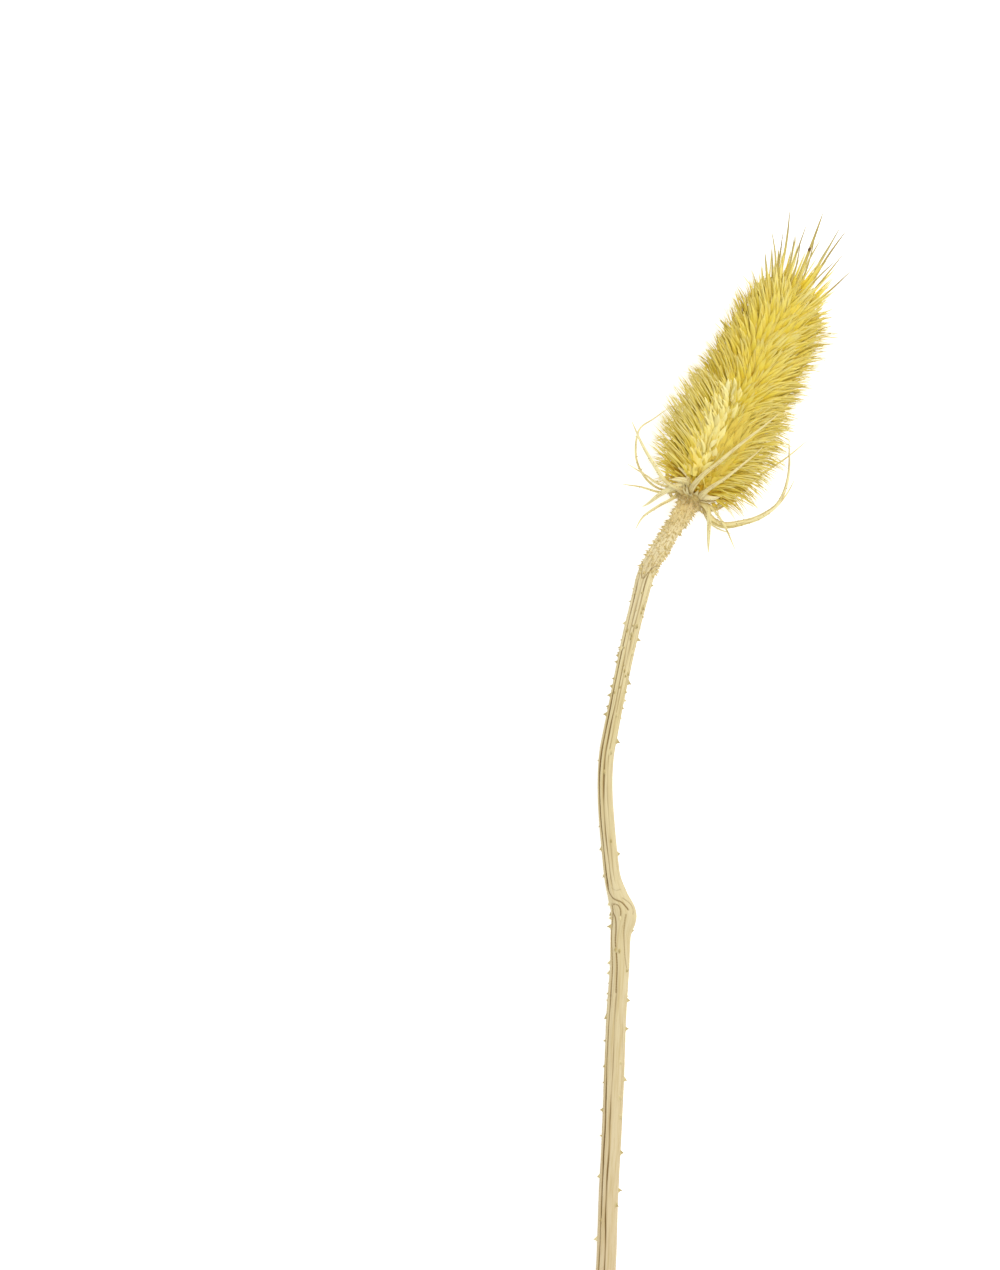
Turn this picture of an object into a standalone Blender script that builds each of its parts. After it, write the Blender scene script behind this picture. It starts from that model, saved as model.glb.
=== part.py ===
"""Dried teasel: a cut prickly stem, a collar of long bracts and a spiny seed head, lying on a flat surface.

The stem runs roughly along Y with the head at +Y. The surface is the plane Z = 0, and the head lies on the
tips of its lower awns, which the surface bends flat, while the stem lies on its prickles.
"""

import math
import random

import bmesh
import bpy
import numpy as np
from mathutils import Vector

MM = 0.001
SEED = 11

# The head's axis runs from the collar to the top of the core.
HEAD_BASE = Vector((-9.1, 92.0, 18.2)) * MM
HEAD_TIP = Vector((30.8, 173.8, 14.6)) * MM
CORE_LENGTH = 80.0 * MM
CORE_RADIUS = 11.8 * MM
CORE_TAPER = 0.17
CORE_SQUARENESS = 3.0
CORE_CUT = 0.018
CORE_RINGS = 14
CORE_SIDES = 14

# Awns of the head: stiff three-sided points, tilted from straight out towards the head's tip. Each list
# gives a share of the core's length and the value there: degrees of tilt, and millimetres of length.
AWN_COUNT = 900
AWN_TILTS = (
    (0, -24),
    (0.02, -15),
    (0.06, 0),
    (0.15, 14),
    (0.35, 30),
    (0.5, 40),
    (0.75, 47),
    (0.92, 52),
    (0.97, 66),
    (1, 86),
)
AWN_LENGTHS = ((0, 10.6), (0.15, 11.5), (0.35, 10.4), (0.5, 10.2), (0.75, 11), (0.9, 12), (1, 12))
AWN_HALF_WIDTH = 1.15 * MM
AWN_KEEL = 1.05 * MM
AWN_INNER_SHARE = 0.35
AWN_SUNK = 1.4 * MM
TILT_SPREAD = 7.0
TURN_SPREAD = 5.0
GOLDEN_ANGLE = math.radians(137.508)

# The tuft of longest awns at the top: root across and above the head's axis, then the tip's place along,
# across and above it, in millimetres.
TUFT_ROOT = 79.0 * MM
TUFT_HALF_WIDTH = 0.85 * MM
TUFT = [
    (-4.6, 0.5, 103.3, -13.3, 2.0),
    (-4.8, -2.0, 96.6, -12.0, -6.0),
    (-3.6, 2.8, 95.4, -8.1, 7.0),
    (-2.0, -3.4, 98.4, -7.5, -8.5),
    (-1.2, 3.0, 101.0, -6.0, 5.0),
    (0.2, 0.6, 107.8, -2.5, 1.0),
    (2.6, 2.6, 104.8, 4.9, 6.5),
    (4.4, 0.4, 100.1, 4.6, -1.5),
    (4.8, -1.6, 106.4, 7.6, -3.0),
    (0.8, -4.4, 100.5, -1.0, -10.0),
    (0.4, 4.6, 97.5, 0.5, 11.0),
    (4.0, -3.4, 96.0, 9.0, -9.0),
    (-3.0, 4.0, 94.0, -5.5, 11.5),
    (4.2, 3.2, 96.5, 9.8, 8.0),
]

# Flat collar under the head that carries the long bracts. The three pieces meet face to face with this gap.
FACE_GAP = 0.3 * MM
COLLAR_BOTTOM = -0.9 * MM
COLLAR_TOP = 1.3 * MM
COLLAR_RADIUS = 5.4 * MM
COLLAR_SIDES = 18
BRACT_STEPS = 9
BRACT_THICKNESS = 0.42
BRACT_THINNEST = 0.32 * MM

# Long bracts: half width at the root, then points (along the head's axis, across it, above it), in
# millimetres.
LONG_BRACTS = {
    "front_right": (1.25, [
        (0, 0.2, 4.4), (0.6, -2, 12.5), (6.2, -1.7, 20), (12.7, 2.2, 22.2), (21.8, 6.3, 22.6),
        (30.9, 10.8, 21.6), (37.5, 13.8, 20),
    ]),
    "front_low_right": (1, [
        (0, 2.6, 3.6), (-0.6, 3.4, 10), (3.8, 4.2, 17), (9.9, 7.4, 20.2), (20.3, 12.1, 20),
        (25, 13.8, 19),
    ]),
    "right_behind": (0.8, [
        (0, 4, -1.6), (-0.8, 8.5, -6), (6, 13, -10), (14.5, 16.3, -10), (21.5, 20.2, -8.5),
        (28, 24, -7), (36.1, 27.7, -5),
    ]),
    "right_arch": (1.3, [
        (0, 4.2, 0.4), (-1.9, 5.8, 1), (-3.9, 10.3, 1.2), (-3.5, 14.4, 1.4), (0.5, 20.2, 1.5),
        (4.4, 24.1, 1.4), (10.3, 27.5, 1.2), (17, 27.7, 0.8), (24.2, 25.7, 0.4), (33, 21.4, 0),
    ]),
    "right_arch_low": (0.8, [
        (0, 4, -0.9), (-4.4, 9.5, -2), (-4.2, 15, -4), (0.8, 21.5, -5), (5, 25.3, -5.4),
        (10.3, 28, -5.5), (16.2, 29.4, -5.3), (21.8, 29.6, -5),
    ]),
    "reflexed_right": (1, [
        (0, 3.6, 2.6), (-3, 7.4, 5), (-9, 10.2, 4.5), (-15.5, 13.4, 1.5),
    ]),
    "reflexed_far_right": (0.7, [
        (0, 4.3, 1.6), (-1.6, 9, 4), (-4.8, 14.6, 3.5), (-10.2, 21.6, -1),
    ]),
    "reflexed_thin": (0.6, [
        (0, 3.7, -2.4), (-4, 7.5, -5), (-5.4, 12, -8), (-4.8, 18.4, -11),
    ]),
    "left_hook": (1.1, [
        (0, -3.6, 2.5), (-1.8, -8.1, 4.5), (-5.4, -10.4, 3), (-10, -14, -1),
    ]),
    "left_low": (1, [
        (0, -4.2, -1), (-4.2, -6.6, -2.2), (-7.8, -9.3, -4), (-13.3, -12.4, -8),
        (-18.3, -12.9, -11.5),
    ]),
    "left_arch": (1.2, [
        (0, -3, 3.2), (-0.4, -10.5, 10), (2.7, -16.7, 12), (7.7, -24.2, 12), (13.9, -31.3, 10),
    ]),
    "left_spread": (0.75, [
        (0, -4.2, 1.2), (-1.4, -13.1, 3.5), (-0.8, -18, 4.6), (0, -26, 5),
    ]),
    "left_spread_low": (0.7, [
        (0, -4.3, 0.2), (-3.4, -11, -1.5), (-4.6, -18, -3.4), (-6.4, -24.3, -6),
    ]),
    "left_round": (0.8, [
        (0, -4.3, -0.6), (-2.4, -12, -1.5), (-0.6, -18.6, -2.5), (4.4, -24.1, -2.6),
        (12.9, -27.1, -2), (18.9, -24.2, -1), (25.4, -20.6, 0),
    ]),
    "under_right": (1, [
        (0, 2.4, -3.7), (-2.4, 5.5, -10), (3, 10, -14.6), (13, 14, -16), (25, 16.5, -15.8),
    ]),
    "under_left": (1, [
        (0, -2.6, -3.6), (-2.4, -6, -10), (3, -10.5, -14.8), (12, -14, -16), (23, -15.5, -15.8),
    ]),
    "under_stem": (0.9, [
        (0, 0, -4.4), (-3, -0.3, -9.5), (-8.4, -0.9, -14), (-17.5, -1.8, -16.3),
    ]),
}

# Stem: centre line with its radius, from the cut end to the collar (x, y, z, radius), in millimetres.
STEM_ROUTE = [
    (-39.7, -189.0, 4.3, 3.45),
    (-38.9, -175.0, 4.3, 3.45),
    (-38.2, -154.0, 4.3, 3.4),
    (-37.1, -133.0, 4.3, 3.4),
    (-36.2, -112.0, 4.3, 3.5),
    (-35.4, -91.0, 4.3, 3.45),
    (-34.3, -73.5, 4.4, 3.45),
    (-33.9, -62.0, 4.7, 3.6),
    (-33.0, -54.6, 5.0, 4.3),
    (-34.9, -48.4, 5.1, 3.6),
    (-36.7, -42.0, 5.1, 2.9),
    (-37.6, -35.0, 5.4, 2.7),
    (-38.8, -22.8, 6.4, 2.7),
    (-39.5, -10.5, 7.7, 2.6),
    (-39.1, 0.7, 8.9, 2.6),
    (-37.6, 9.6, 9.8, 2.6),
    (-35.4, 21.0, 11.0, 2.5),
    (-32.6, 35.0, 12.6, 2.6),
    (-30.2, 46.0, 13.7, 2.7),
    (-27.7, 56.0, 14.7, 2.85),
    (-25.6, 64.2, 15.5, 3.0),
    (-23.2, 69.4, 16.1, 3.0),
    (-18.6, 77.0, 16.9, 2.95),
    (-13.6, 84.6, 17.7, 3.1),
]
STEM_TOP_RADIUS = 4.0 * MM
STEM_RING_SPACING = 6.5 * MM
STEM_RIBS = 8
STEM_RIB_DEPTH = 0.16

# Prickles on the ribs: few and stout low down, many and fine on the neck under the head.
PRICKLE_COUNT = 105
BRISTLE_COUNT = 95
BRISTLES_FROM_Y = 66.0 * MM
PRICKLE_HEIGHTS = (0.9 * MM, 1.7 * MM)
BRISTLE_HEIGHTS = (1.1 * MM, 1.9 * MM)
PRICKLE_HALF_WIDTH = 0.55 * MM
BRISTLE_HALF_WIDTH = 0.36 * MM
PRICKLE_SUNK = 0.7 * MM

CLEARANCE = 0.35 * MM

ALONG = (HEAD_TIP - HEAD_BASE).normalized()
ACROSS = ALONG.cross(Vector((0, 0, 1))).normalized()
ABOVE = ACROSS.cross(ALONG)


def head_point(along, across, above):
    """A point given along the head's axis, across it and above it."""
    return HEAD_BASE + ALONG * along + ACROSS * across + ABOVE * above


def on_surface(point, half_thickness=0.0):
    """The point, lifted where it would go through the surface that the object lies on."""
    return Vector((point.x, point.y, max(point.z, half_thickness)))


def smooth_line(points, spacing):
    """Points evenly spaced on a Catmull-Rom curve through the given rows; extra columns come along."""
    rows = np.array(points, float)
    rows = np.vstack([2 * rows[0] - rows[1], rows, 2 * rows[-1] - rows[-2]])
    fine = []
    for a, b, c, d in zip(rows, rows[1:], rows[2:], rows[3:]):
        for t in np.linspace(0, 1, 12, endpoint=False):
            square, cube = 2 * a - 5 * b + 4 * c - d, 3 * b - a - 3 * c + d
            fine.append(0.5 * (2 * b + (c - a) * t + square * t**2 + cube * t**3))
    fine.append(rows[-2])
    fine = np.array(fine)
    walked = np.concatenate([[0], np.cumsum(np.linalg.norm(np.diff(fine[:, :3], axis=0), axis=1))])
    steps = max(2, round(walked[-1] / spacing))
    wanted = np.linspace(0, walked[-1], steps + 1)
    return np.array([np.interp(wanted, walked, fine[:, k]) for k in range(fine.shape[1])]).T


def frames_along(points, first_side):
    """A side and a back direction at each point, square to the line and turning as little as they can."""
    points = [Vector(p) for p in points]
    side, frames = first_side, []
    for i, here in enumerate(points):
        ahead = points[min(i + 1, len(points) - 1)] - points[max(i - 1, 0)]
        ahead.normalize()
        side = (side - ahead * side.dot(ahead)).normalized()
        frames.append((ahead, side, ahead.cross(side)))
    return frames


def loft(rings, tip=None):
    """A closed mesh through rings of equally many points, ending in a point or in a flat cap."""
    mesh = bmesh.new()
    rows = [[mesh.verts.new(p) for p in ring] for ring in rings]
    for low, high in zip(rows, rows[1:]):
        for a, b, c, d in zip(low, low[1:] + low[:1], high[1:] + high[:1], high):
            mesh.faces.new((a, b, c))
            mesh.faces.new((a, c, d))
    mesh.faces.new(rows[0][::-1])
    if tip is None:
        mesh.faces.new(rows[-1])
    else:
        point = mesh.verts.new(tip)
        for a, b in zip(rows[-1], rows[-1][1:] + rows[-1][:1]):
            mesh.faces.new((a, b, point))
    bmesh.ops.recalc_face_normals(mesh, faces=mesh.faces)
    return mesh


def add_object(name, mesh, collection):
    data = bpy.data.meshes.new(name)
    mesh.to_mesh(data)
    mesh.free()
    made = bpy.data.objects.new(name, data)
    collection.objects.link(made)
    return made


def new_collection(name):
    collection = bpy.data.collections.new(name)
    bpy.context.scene.collection.children.link(collection)
    return collection


def fuse(body, repeats):
    """Joins every object of the collection to the body in one solid, and removes them."""
    joining = body.modifiers.new("fuse", "BOOLEAN")
    joining.operation = "UNION"
    joining.operand_type = "COLLECTION"
    joining.collection = repeats
    joining.solver = "MANIFOLD"
    graph = bpy.context.evaluated_depsgraph_get()
    fused = bpy.data.meshes.new_from_object(body.evaluated_get(graph))
    body.modifiers.clear()
    body.data = fused
    for piece in list(repeats.objects):
        bpy.data.objects.remove(piece)
    bpy.data.collections.remove(repeats)


def material(name, colour, roughness):
    made = bpy.data.materials.new(name)
    made.use_nodes = True
    shader = made.node_tree.nodes["Principled BSDF"]
    shader.inputs["Base Color"].default_value = (*colour, 1)
    shader.inputs["Roughness"].default_value = roughness
    shader.inputs["Metallic"].default_value = 0
    return made


def core_radius(share):
    """Radius of the core at a share of its length: a rounded barrel that narrows towards the top."""
    reach = 2 * (CORE_CUT + share * (1 - CORE_CUT)) - 1
    barrel = max(0.0, 1 - abs(reach) ** CORE_SQUARENESS) ** (1 / CORE_SQUARENESS)
    return CORE_RADIUS * (1 - CORE_TAPER * share) * barrel


def core_spot(share, turn):
    """The point of the core's surface at a share of its length and a turn round it."""
    outward = ACROSS * math.cos(turn) + ABOVE * math.sin(turn)
    bottom = COLLAR_TOP + FACE_GAP
    return HEAD_BASE + ALONG * (bottom + share * CORE_LENGTH) + outward * core_radius(share)


def even_shares(count):
    """Shares of the core's length that put equally much of its surface between one and the next."""
    shares = np.linspace(0.004, 0.999, 600)
    radii = np.array([core_radius(s) for s in shares])
    slopes = np.gradient(radii, shares * CORE_LENGTH)
    covered = np.cumsum(radii * np.sqrt(1 + slopes**2))
    covered = (covered - covered[0]) / (covered[-1] - covered[0])
    return np.interp((np.arange(count) + 0.5) / count, covered, shares)


def bract_line(points):
    """The centre line of one long bract, kept above the surface."""
    line = [head_point(*(value * MM for value in point)) for point in points]
    length = sum((b - a).length for a, b in zip(line, line[1:]))
    smooth = smooth_line([tuple(p) for p in line], length / BRACT_STEPS)
    return [on_surface(Vector(p), 0.5 * MM) for p in smooth]


def bract_width(half_width, share):
    """Half width of a long bract: broadest near the root, drawn out to a fine tip."""
    return half_width * MM * (1 - share) ** 0.62 * (0.86 + 0.5 * share) + BRACT_THINNEST * share


def long_bract(half_width, points):
    """One long bract: a keeled strip of four sides that ends in a point."""
    line = bract_line(points)
    rings = []
    for i, (centre, (ahead, side, back)) in enumerate(zip(line, frames_along(line, ahead_side(line)))):
        share = i / (len(line) - 1)
        wide = bract_width(half_width, share)
        thick = max(BRACT_THINNEST, wide * BRACT_THICKNESS)
        ring = [centre + side * wide, centre + back * thick, centre - side * wide, centre - back * thick]
        rings.append([on_surface(p) for p in ring])
    return loft(rings[:-1], line[-1])


def ahead_side(line):
    """Sideways direction at a bract's root: square to its line and to the head's axis."""
    return (line[1] - line[0]).cross(ALONG).normalized()


def involucre(collection, look):
    """The collar and its long bracts."""
    rings = []
    for along, radius in ((COLLAR_BOTTOM, 0.84), (-0.1 * MM, 1.0), (COLLAR_TOP, 0.9)):
        reach = COLLAR_RADIUS * radius
        rings.append([
            head_point(along, math.cos(turn) * reach, math.sin(turn) * reach)
            for turn in np.linspace(0, 2 * math.pi, COLLAR_SIDES, endpoint=False)
        ])
    collar = add_object("involucre", loft(rings), collection)
    bracts = new_collection("bracts to fuse")
    for name, (half_width, points) in LONG_BRACTS.items():
        add_object(f"bract_{name}", long_bract(half_width, points), bracts)
    fuse(collar, bracts)
    collar.data.materials.append(look)
    return collar


def bract_balls():
    """Points along every long bract, each with the radius that has to stay clear."""
    centres, radii = [], []
    for half_width, points in LONG_BRACTS.values():
        line = np.array([tuple(p) for p in bract_line(points)])
        steps = np.linspace(0, len(line) - 1, len(line) * 4)
        for column in steps:
            low = min(int(column), len(line) - 2)
            centres.append(line[low] + (line[low + 1] - line[low]) * (column - low))
            radii.append(bract_width(half_width, column / (len(line) - 1)) + CLEARANCE)
    return np.array(centres), np.array(radii)


def is_clear(points, half_width, balls):
    """Whether a thin piece through these points stays clear of the long bracts."""
    centres, radii = balls
    ends = np.array([tuple(p) for p in points])
    for a, b in zip(ends, ends[1:]):
        for share in np.linspace(0, 1, 7):
            here = a + (b - a) * share
            if (np.linalg.norm(centres - here, axis=1) < radii + half_width).any():
                return False
    return True


def awn(root, direction, tip, scale):
    """One awn as a mesh: a three-sided point with its keel outwards, and a root sunk in the core."""
    side = direction.cross(ALONG)
    side = side.normalized() if side.length > 1e-3 else ACROSS.copy()
    outer = side.cross(direction).normalized()
    if outer.dot(ALONG) > 0:
        outer = -outer
    sunk = root - direction * AWN_SUNK
    wide, keel = AWN_HALF_WIDTH * scale, AWN_KEEL * scale
    inner = sunk - outer * AWN_INNER_SHARE * keel
    return loft([[inner + side * wide, inner - side * wide, sunk + outer * keel]], on_surface(tip))


def at_share(table, share):
    """The value of a table of (share, value) rows at a share of the core's length."""
    return float(np.interp(share, [row[0] for row in table], [row[1] for row in table]))


def awn_places(rng):
    """Root, tip and thickness of every awn, in a spiral from the collar to the top, then of the tuft's."""
    for i, share in enumerate(even_shares(AWN_COUNT)):
        turn = i * GOLDEN_ANGLE
        root = core_spot(share, turn)
        turn += math.radians(rng.uniform(-TURN_SPREAD, TURN_SPREAD))
        tilt = math.radians(at_share(AWN_TILTS, share) + rng.uniform(-TILT_SPREAD, TILT_SPREAD))
        outward = ACROSS * math.cos(turn) + ABOVE * math.sin(turn)
        direction = outward * math.cos(tilt) + ALONG * math.sin(tilt)
        yield root, root + direction * at_share(AWN_LENGTHS, share) * MM * rng.uniform(0.88, 1.12), 1.0
    for across, above, tip_along, tip_across, tip_above in TUFT:
        root = head_point(TUFT_ROOT, across * MM, above * MM)
        tip = head_point(tip_along * MM, tip_across * MM, tip_above * MM)
        yield root, tip, TUFT_HALF_WIDTH / AWN_HALF_WIDTH


def seed_head(collection, look):
    """The head: a barrel-shaped core that its awned bracts stand out of, all round and over the top."""
    rng = random.Random(SEED)
    rings = []
    for share in 0.5 - 0.5 * np.cos(np.linspace(0, math.pi, CORE_RINGS + 1)[:-1]):
        rings.append([
            core_spot(share, turn) for turn in np.linspace(0, 2 * math.pi, CORE_SIDES, endpoint=False)
        ])
    top = HEAD_BASE + ALONG * (COLLAR_TOP + FACE_GAP + CORE_LENGTH)
    core = add_object("seed_head", loft(rings, top), collection)
    awns = new_collection("awns to fuse")
    balls = bract_balls()
    left_out = 0
    for i, (root, tip, scale) in enumerate(awn_places(rng)):
        if is_clear([root, on_surface(tip)], 0.6 * AWN_KEEL * scale, balls):
            add_object(f"awn_{i:03d}", awn(root, (tip - root).normalized(), tip, scale), awns)
        else:
            left_out += 1
    print(f"{left_out} awns left out, where a long bract passes")
    fuse(core, awns)
    core.data.materials.append(look)
    return core


def rib_wave(turn):
    """Height of the stem's surface between furrow (0) and rib (1)."""
    return 0.5 + 0.5 * math.cos(STEM_RIBS * turn)


def stem_sections():
    """Rows (x, y, z, radius) along the stem with their frames, the last one on the collar's underside."""
    top = HEAD_BASE + ALONG * (COLLAR_BOTTOM - FACE_GAP)
    route = [tuple(value * MM for value in row) for row in STEM_ROUTE] + [(*top, STEM_TOP_RADIUS)]
    rows = smooth_line(route, STEM_RING_SPACING)
    rows[-1, :3] = top
    frames = frames_along([Vector(row[:3]) for row in rows], Vector((1, 0, 0)))
    ahead, side, back = frames[-1]
    side = (side - ALONG * side.dot(ALONG)).normalized()
    frames[-1] = (ALONG, side, ALONG.cross(side))
    return rows, frames


def stem_point(row, frame, turn, wave):
    """The stem's surface at a turn round one section."""
    ahead, side, back = frame
    radius = row[3] * (1 - STEM_RIB_DEPTH * (1 - wave))
    return Vector(row[:3]) + (side * math.cos(turn) + back * math.sin(turn)) * radius


def prickle(foot, outward, ahead, height, half_width):
    """One prickle: a three-sided spike whose root is sunk into its rib."""
    side = outward.cross(ahead).normalized()
    sunk = foot - outward * PRICKLE_SUNK
    ring = [
        sunk + ahead * half_width * 1.5,
        sunk - ahead * half_width * 0.8 + side * half_width,
        sunk - ahead * half_width * 0.8 - side * half_width,
    ]
    return loft([ring], on_surface(foot + outward * height))


def stem(collection, look):
    """The furrowed stem with its swollen knot, and the prickles that stand on its ribs."""
    rng = random.Random(SEED + 1)
    rows, frames = stem_sections()
    turns = [math.pi * k / STEM_RIBS for k in range(2 * STEM_RIBS)]
    rings = []
    for row, frame in zip(rows, frames):
        rings.append([stem_point(row, frame, turn, rib_wave(turn)) for turn in turns])
    stalk = add_object("stem", loft(rings), collection)
    spikes = new_collection("prickles to fuse")
    balls = bract_balls()
    bristles_from = int(np.argmin(np.abs(rows[:, 1] - BRISTLES_FROM_Y)))
    for i in range(PRICKLE_COUNT + BRISTLE_COUNT):
        fine = i >= PRICKLE_COUNT
        first, last = (bristles_from, len(rows) - 1.35) if fine else (0.3, bristles_from)
        order = i - PRICKLE_COUNT if fine else i
        share = (order + rng.random()) / (BRISTLE_COUNT if fine else PRICKLE_COUNT)
        place = first + (last - first) * (share**0.8 if fine else share)
        low = int(place)
        row = rows[low] + (rows[low + 1] - rows[low]) * (place - low)
        frame = frames[low]
        turn = 2 * math.pi * ((order * 3) % STEM_RIBS) / STEM_RIBS
        foot = stem_point(row, frame, turn, 1.0)
        ahead, side, back = frame
        outward = side * math.cos(turn) + back * math.sin(turn) + ahead * rng.uniform(-0.2, 0.2)
        outward.normalize()
        height = rng.uniform(*(BRISTLE_HEIGHTS if fine else PRICKLE_HEIGHTS))
        half_width = BRISTLE_HALF_WIDTH if fine else PRICKLE_HALF_WIDTH
        if foot.z < height and foot.z < 0.4 * MM:
            continue
        if is_clear([foot, foot + outward * height], half_width, balls):
            add_object(f"prickle_{i:03d}", prickle(foot, outward, ahead, height, half_width), spikes)
    fuse(stalk, spikes)
    stalk.data.materials.append(look)
    return stalk


def main():
    for old in list(bpy.data.objects):
        bpy.data.objects.remove(old)
    teasel = new_collection("dried teasel")
    straw = material("straw", (0.74, 0.64, 0.38), 0.72)
    cream = material("pale bract", (0.80, 0.70, 0.34), 0.66)
    yellow = material("yellow awns", (0.78, 0.62, 0.15), 0.62)
    for made in (stem(teasel, straw), involucre(teasel, cream), seed_head(teasel, yellow)):
        made.data.shade_smooth()
        made.data.set_sharp_from_angle(angle=math.radians(40))


main()
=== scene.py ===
import math

import bpy
import numpy as np
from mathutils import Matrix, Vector


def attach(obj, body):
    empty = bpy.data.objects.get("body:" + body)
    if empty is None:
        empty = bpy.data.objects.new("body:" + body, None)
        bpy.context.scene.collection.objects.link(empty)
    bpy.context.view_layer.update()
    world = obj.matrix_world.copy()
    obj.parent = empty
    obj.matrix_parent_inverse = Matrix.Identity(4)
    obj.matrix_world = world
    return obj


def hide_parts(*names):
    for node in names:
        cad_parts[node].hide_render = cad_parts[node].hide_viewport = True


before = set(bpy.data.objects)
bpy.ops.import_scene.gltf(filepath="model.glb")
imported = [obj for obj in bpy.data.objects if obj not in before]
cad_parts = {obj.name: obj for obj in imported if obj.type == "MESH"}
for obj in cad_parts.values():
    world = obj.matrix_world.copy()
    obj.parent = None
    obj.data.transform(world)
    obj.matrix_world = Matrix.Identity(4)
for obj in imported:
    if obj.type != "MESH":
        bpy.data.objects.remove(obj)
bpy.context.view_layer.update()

MM = 0.001
SEED = 5
GOLDEN_ANGLE = math.radians(137.508)
GOLDEN_SHARE = 0.618034

# The head's axis and core, as in the part's source.
HEAD_BASE = np.array([-9.1, 92.0, 18.2]) * MM
HEAD_TIP = np.array([30.8, 173.8, 14.6]) * MM
HEAD_START = 1.6 * MM
CORE_LENGTH = 80.0 * MM
CORE_RADIUS = 11.8 * MM
CORE_TAPER = 0.17
CORE_SQUARENESS = 3.0
CORE_CUT = 0.018
CORE_PADDING = 1.2 * MM
CORE_INSET = 0.94
AWN_INSET = 0.90

# Awns at shares of the core's length: tilt towards the tip in degrees, length in millimetres, how far they
# bend outwards in degrees, and how broad they are. The tilts and lengths are close to those of the solid
# awns.
AWN_TILTS = (
    (0, -24), (0.02, -15), (0.06, 0), (0.15, 14), (0.35, 30), (0.5, 40), (0.75, 48), (0.9, 58), (0.97, 71),
    (1, 86),
)
AWN_LENGTHS = ((0, 10.8), (0.15, 12), (0.35, 11.4), (0.5, 11.6), (0.75, 12.6), (0.9, 13.8), (1, 14.5))
AWN_RECURVE = ((0, 46), (0.2, 44), (0.5, 26), (0.8, 10), (1, 0))
AWN_BREADTHS = ((0, 0.8), (0.2, 0.85), (0.4, 1.0), (0.8, 1.15), (1, 0.8))
STEEPEST_TILT = 88

# How the awns differ round the head: the front's sweep to the tip in degrees and its straighter awns, the
# right side's bend in degrees, longer awns and how much paler they are painted on that lit side, the left
# side's deeper colour painted as shade, and longer arcs.
FRONT_SWEEP = 26
FRONT_STRAIGHTENING = 0.75
RIGHT_RECURVE = 26
RIGHT_LENGTHENING = 0.26
RIGHT_PAINTED_LIGHT = 0.6
LEFT_PAINTED_SHADE = 0.35
LEFT_ARC_LENGTHENING = 0.28
# Where the long arcs are on the left of the front, in degrees, and how many awns at the very top are short.
ARCS_TURN = 128
ARCS_SPREAD = 30
SHORT_TOP_SHARE = 0.78

# The smooth ochre patch on the front: its share of the core's length and its spread along it, the turn of its
# middle in degrees at shares of the length, its spread round the head, and how steeply its awns are tilted.
CALM_SHARE = 0.19
CALM_REACH = 0.11
CALM_MIDDLE = ((0.1, 82), (0.32, 56))
CALM_SPREAD = 20
CALM_TILT = 80

# Clumps that the awns gather in: how many, how far the awns of one close up towards their tips, and how far
# those of the front fan out to the left and to the right.
CLUMP_COUNT = 330
CLUMP_GATHER = 0.6
FAN_LEFT = 0.55
FAN_RIGHT = 0.42

# How many there are of each kind of scale and awn, and how wide and thick they are.
SCALE_COUNT = 1750
SCALE_HALF_WIDTH = 1.0 * MM
SCALE_THICKNESS = 0.30 * MM
FINE_AWN_COUNT = 1100
FINE_HALF_WIDTH = 0.22 * MM
BLADE_COUNT = 1300
BLADE_HALF_WIDTH = 1.05 * MM
BLADE_THICKNESS = 0.24 * MM
FRONT_SCALE_COUNT = 130
PAPERY_COUNT = 22
CALM_BLADE_COUNT = 110
COMB_COUNT = 260
CURL_COUNT = 170
CROWN_COUNT = 84

# Cross sections of strands: corners across and to the back, in shares of the half width and the thickness.
SCALE_SECTION = ((-1, -0.5), (0, 0.6), (1, -0.5), (0, -0.05))
BLADE_SECTION = ((-1, -0.6), (0, 1), (1, -0.6), (0, 0))
ARC_SECTION = ((-1, -0.5), (0, 0.9), (1, -0.5), (0, -0.3))
FINE_SECTION = ((-1, -0.5), (0, 1), (1, -0.5))
FOOT_SECTION = ((-1, 0.3), (0, -0.5), (1, 0.3), (0, 0.1))
BRACT_SECTION = (
    (-1, 0.35), (-0.85, -0.15), (-0.4, -0.45), (0, -0.95), (0.4, -0.45), (0.85, -0.15), (1, 0.35),
    (0.55, 0.30), (0, -0.1), (-0.55, 0.30),
)

# The tuft at the head's top: root across and above the axis, then the tip's place along, across and above it
# (mm), and its half width at the root.
TUFT_ROOT = 75.0
TUFT_REACH = 1.6
TUFT = [
    (-4.6, 0.5, 103.3, -13.3, 2, 0.5), (-4.8, -2, 96.6, -12, -6, 0.42), (-3.6, 2.8, 95.4, -8.1, 7, 0.42),
    (-2, -3.4, 98.4, -7.5, -8.5, 0.4), (-1.2, 3, 101, -6, 5, 0.45), (0.2, 2.6, 107.8, -2.5, 1, 0.7),
    (2.6, 3.6, 104.8, 4.9, 6.5, 0.55), (4.4, 2.4, 100.1, 4.6, -1.5, 0.5), (4.8, 1.6, 106.4, 7.6, -3, 0.5),
    (0.8, -4.4, 100.5, -1, -10, 0.4), (0.4, 4.6, 97.5, 0.5, 11, 0.42), (4, -3.4, 96, 9, -9, 0.4),
    (-3, 4, 94, -5.5, 11.5, 0.4), (4.2, 3.2, 96.5, 9.8, 8, 0.42), (-6, 2, 94, -16, 3.5, 0.42),
    (6, 2, 93.5, 15, 3.5, 0.42), (-6.5, 3, 85.8, -14.8, 6, 0.55), (-5.6, 4, 88.2, -13.4, 7, 0.5),
    (-4.4, 4.6, 88.4, -10.9, 8, 0.5),
]
# The dark broken point on the tuft's broadest awn: how far up it, how far in front, and its size.
SCAB_SHARE = 0.6
SCAB_RAISE = 0.5 * MM
SCAB_HEIGHT = 0.8 * MM
SCAB_HALF_WIDTH = 0.42 * MM

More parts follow.
